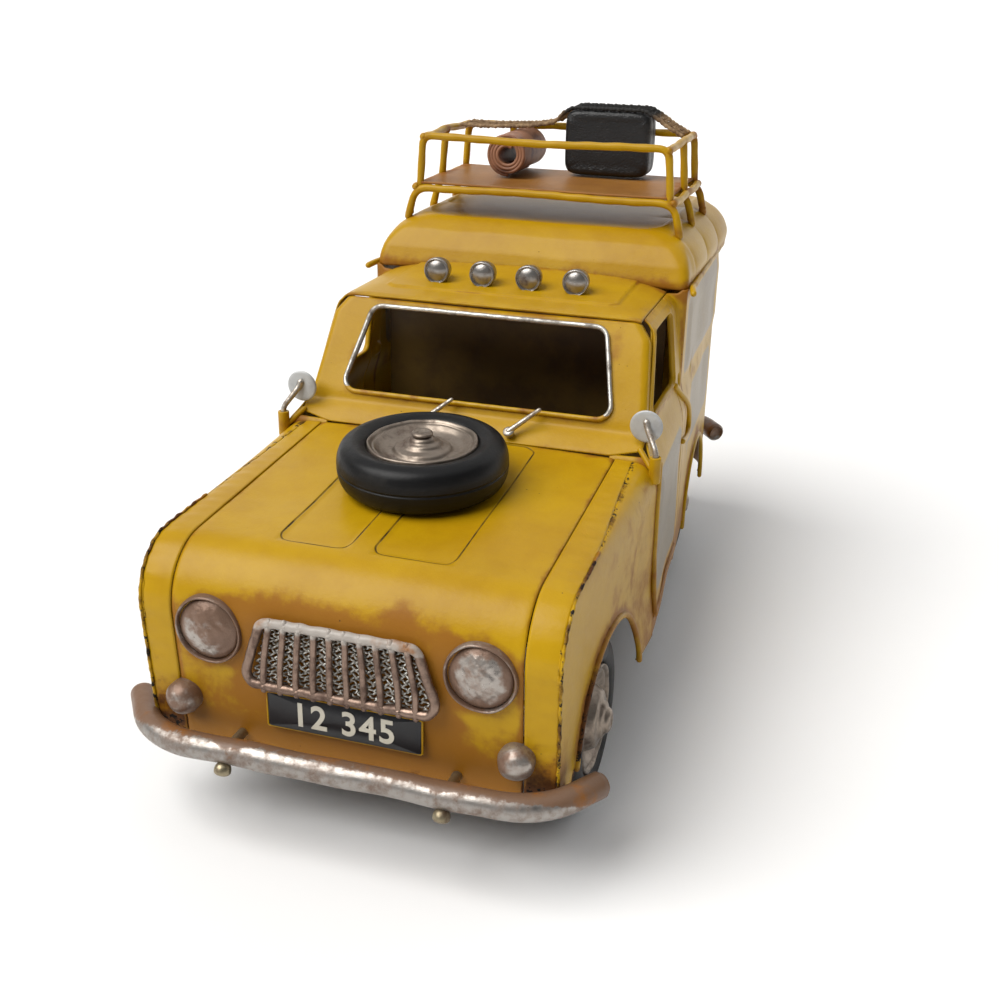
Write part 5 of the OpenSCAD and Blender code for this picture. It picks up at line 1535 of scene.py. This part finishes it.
tilt = np.pi * (levels - 0.5)
u, v = np.meshgrid(case_turn, tilt)
warp = np.arctan2(np.sin(v) * case_half[1] * 1.6, np.cos(v) * 14)
case_points = soft_box(case_half * 0.998, u, warp, 7.0)
face_y = np.abs(case_points[..., 1]) / case_half[1]
inset = np.maximum(np.abs(case_points[..., 0]) - case_half[0] + 3.2,
                   np.abs(case_points[..., 2]) - case_half[2] + 3.2)
case_points[..., 1] *= 1 - 0.09 * smooth(0.7, -0.3, inset) * (face_y > 0.9)
belt = np.exp(-(case_points[..., 1] / 0.5) ** 2) * (face_y < 0.9)
case_points *= (1 - 0.022 * belt)[..., None]
case_piece = piece("case_shell", [grid(case_middle + case_points, wrap_columns=True)],
                   grained_leather("case_black", (0.0075, 0.0078, 0.0085)),
                   inside=(0, 0, 0))
ride_as(case_piece, "car_body", "case_leather", "suitcase")

roll_low, roll_high = (np.array(c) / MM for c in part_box("rolled_mat"))
roll_radius = (roll_high[2] - roll_low[2]) / 2
roll_middle = (roll_low + roll_high) / 2
mat_thick = 1.15
turns = 3.6
wind_steps = 361
wind = np.linspace(0, turns * 2 * np.pi, wind_steps)
wind_radius = 3.3 + (roll_radius - 0.7 - 3.3) * (wind / wind[-1]) ** 0.92
wind_x, wind_z = roll_middle[0] + wind_radius * np.cos(wind
        + 1.0), roll_middle[2] + wind_radius * np.sin(wind + 1.0)
rows_y = np.linspace(roll_low[1] + 0.4, roll_high[1] - 0.4, 33)
mat_points = np.stack([np.broadcast_to(wind_x, (33, wind_steps)),
                       rows_y[:, None] + 0.35 * np.sin(wind * 0.8)[None] * np.sign(rows_y - 83)[:, None],
                       np.broadcast_to(wind_z, (33, wind_steps)) + 0.08 * np.sin(rows_y * 0.5)[:, None]], -1)
mat_shader = Shader("mat_copper")
mat_cloud, mat_grain = mat_shader.noise(150, 4, 0.6), mat_shader.noise(1400, 3, 0.6)
mat_worn = mat_shader.step(0.45, 0.7, mat_cloud)
mat_cloth = mat_shader.finish({"Base Color": mat_shader.mix(mat_worn, (0.30, 0.135, 0.07),
        (0.13, 0.05, 0.028)),
                               "Roughness": 0.55 + (mat_grain - 0.5) * 0.2},
                               mat_cloud * 0.5 + mat_grain * 0.5, 0.0004, 0.5)
mat = piece("mat_roll", [grid(mat_points)], mat_cloth, wall=0.0)
mat_wall = mat.modifiers.new("wall", "SOLIDIFY")
mat_wall.thickness = mat_thick * MM
mat_wall.offset = 0
ride_as(mat, "car_body", "mat_copper", "rolled_mat")
mat_length = float(np.hypot(np.diff(wind_x), np.diff(wind_z)).sum())

net_low, net_high = (np.array(c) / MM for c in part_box("luggage_net"))
net_keys = [(net_low[0] + 0.6, rail_z + 0.9), (-36, rail_z + 0.6), (roll_middle[0] - 3, roll_high[2] + 0.6),
            (roll_middle[0] + 4, roll_high[2] + 1.0),
            (-6, 182.4), (case_low[0] - 0.6, 186.6), (case_low[0] + 3, case_high[2] + 0.55),
            (case_high[0] - 3, case_high[2] + 0.55),
            (case_high[0] + 1.2, 186.4), (40, 182.6), (net_high[0] - 0.6, rail_z + 0.9)]
net_x = np.linspace(net_keys[0][0], net_keys[-1][0], 260)
net_z = np.interp(net_x, *np.array(net_keys).T)
for _ in range(12):
    net_z[1:-1] = (net_z[:-2] + 2 * net_z[1:-1] + net_z[2:]) / 4
net_front, net_rear = net_low[1] + 0.4, net_high[1] - 0.3
strings = []
cells = 27
for way in (1, -1):
    for i in range(-6, cells + 6):
        t = np.linspace(0, 1, 26)
        across = (i + way * t * 5 + (5 if way < 0 else 0)) / cells
        keep = (across >= 0) & (across <= 1)
        if keep.sum() < 3:
            continue
        x = net_x[0] + (net_x[-1] - net_x[0]) * across[keep]
        y = net_front + (net_rear - net_front) * t[keep]
        z = np.interp(x, net_x, net_z) + 0.12 * np.sin(y * 3 + i) + 0.1 * way
        strings.append(sweep(np.stack([x, y + 0.2 * np.sin(x * 1.3), z], -1), 0.27, 5))
for y in (net_front, net_rear):
    border = np.stack([net_x, y + 0.15 * np.sin(net_x * 0.9), net_z + 0.1 * np.sin(net_x * 2.1)], -1)
    knots = 0.55 + 0.28 * np.abs(np.sin(np.arange(len(net_x)) * math.pi / 4.5))
    strings.append(sweep(border, knots, 8))
net_shader = Shader("net_string")
on_case = net_shader.mark("dark")
net_tone = net_shader.mix(net_shader.step(0.35, 0.7, net_shader.noise(260, 3)), (0.34, 0.22, 0.11),
                          (0.15, 0.085, 0.04))
net_cloth = net_shader.finish({"Base Color": net_shader.mix(on_case, net_tone, (0.010, 0.009, 0.008)),
                               "Roughness": 0.75},
                              net_shader.noise(3000, 2), 0.0002, 0.6)
net = piece("net_strings", strings, net_cloth, inside=(0, 0, 0), marks={
    "dark": lambda p: smooth(case_low[0] - 4, case_low[0] + 1, p[:, 0])
    * smooth(case_high[0] + 4, case_high[0], p[:, 0])})
ride_as(net, "car_body", "net_string", "luggage_net")

# ---- Cab inside: a brown bulkhead and a brown shelf behind the windscreen ----
# Both keep their plain shapes and get the brown enamel, thinly brushed, in two copies: a darker one on the
# bulkhead that paints the shade inside the cab, and a lighter one on the shelf that paints the light falling
# on it.


def plain_enamel(name, colour, dark, rough):
    """Thin brushed enamel for hidden sheets: a streaky tone and a soft unevenness."""
    s = Shader(name)
    cloud, fine = s.noise(60, 4, 0.6), s.noise(700, 3, 0.6)
    return s.finish({"Base Color": s.mix(s.step(0.35, 0.7, cloud), colour, dark),
                     "Roughness": rough + (fine - 0.5) * 0.15},
                    cloud * 0.5 + fine * 0.3, 0.0003, 0.5)


def dress(material, *nodes):
    """Gives a carried-over CAD node its material."""
    for node in nodes:
        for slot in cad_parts[node].material_slots:
            slot.material = material


# The bulkhead's darker brown is painted shade, and the shelf's brighter orange-brown is painted light.
dress(plain_enamel("shaded_inside_brown", (0.13, 0.075, 0.012), (0.07, 0.036, 0.008), 0.5), "box_bulkhead")
dress(plain_enamel("lit_shelf_brown", (0.50, 0.20, 0.045), (0.28, 0.10, 0.022), 0.4), "dash_shelf")

# ---- Chassis and drive: blackened tin, steel shafts, brass gears and a lead flywheel, all CAD parts ----
# None of it shows from above. Each part keeps its exact shape, because it turns and fits.

dress(plain_enamel("dark_tin", (0.030, 0.028, 0.026), (0.075, 0.045, 0.028), 0.5), "chassis_plate",
      "axle_hangers")
dress(plain_metal("steel", (0.42, 0.41, 0.40), (0.16, 0.12, 0.09), 0.3), "front_axle", "rear_axle",
      "idler_shaft",
      "flywheel_arbor", "motor_spacers", "motor_plates", "body_screws")
dress(plain_metal("gear_brass", (0.50, 0.36, 0.12), (0.20, 0.12, 0.04), 0.32), "axle_gear", "idler_gear",
      "axle_bushes")
dress(plain_metal("lead", (0.16, 0.16, 0.17), (0.07, 0.07, 0.075), 0.5, 0.7), "flywheel")

# ---- Stage: a white floor, one large soft lamp over the car's right headlight and a dim room ----


def room_material():
    """A plain, almost white matt surface with a faint unevenness."""
    s = Shader("pale_floor")
    tone = s.noise(6, 2)
    return s.finish({"Base Color": s.mix(tone, (0.90, 0.90, 0.90), (0.93, 0.93, 0.93)), "Roughness": 0.9})


sweep_y = np.array([-4.0, 1.6, 2.2, 2.7, 3.0, 3.1, 3.1])
sweep_z = np.array([0.0, 0.0, 0.06, 0.3, 0.8, 1.6, 5.0])
fine = np.linspace(0, 6, 61)
x, row = np.meshgrid(np.linspace(-5, 5, 3), fine)
backdrop_points = np.stack([x, np.interp(row, range(7), sweep_y),
                            np.interp(row, range(7), sweep_z) - 0.0002], -1) / MM
floor = piece("floor", [grid(backdrop_points)], room_material(), inside=(0, 0, -50))

world = bpy.data.worlds.new("soft_room")
world.use_nodes = True
# The room lights the car dimly, but the camera sees plain white beyond the floor.
dim = world.node_tree.nodes["Background"]
dim.inputs[0].default_value = (0.95, 0.97, 1.0, 1)
dim.inputs[1].default_value = 0.15
backing = world.node_tree.nodes.new("ShaderNodeBackground")
backing.inputs[0].default_value = (1, 1, 1, 1)
ray = world.node_tree.nodes.new("ShaderNodeLightPath")
choice = world.node_tree.nodes.new("ShaderNodeMixShader")
world.node_tree.links.new(ray.outputs["Is Camera Ray"], choice.inputs[0])
world.node_tree.links.new(dim.outputs[0], choice.inputs[1])
world.node_tree.links.new(backing.outputs[0], choice.inputs[2])
world.node_tree.links.new(choice.outputs[0], world.node_tree.nodes["World Output"].inputs[0])
bpy.context.scene.world = world
bpy.context.scene.view_settings.view_transform = "Standard"


def far_lamp(name, way, strength, spread, colour=(1, 1, 1)):
    """A very large, distant lamp: it lights everything alike from the direction way, with shadows as
    soft as spread."""
    data = bpy.data.lights.new(name, "SUN")
    data.energy = strength
    data.angle = spread
    data.color = colour
    lamp = bpy.data.objects.new(name, data)
    lamp.location = Vector(way)
    lamp.rotation_euler = Vector(way).to_track_quat("Z", "Y").to_euler()
    bpy.context.collection.objects.link(lamp)


far_lamp("key", (-0.62, -0.55, 1.05), 3.35, 0.9, (1.0, 0.985, 0.96))
far_lamp("top", (0.15, 0.1, 1.2), 0.5, 1.2)
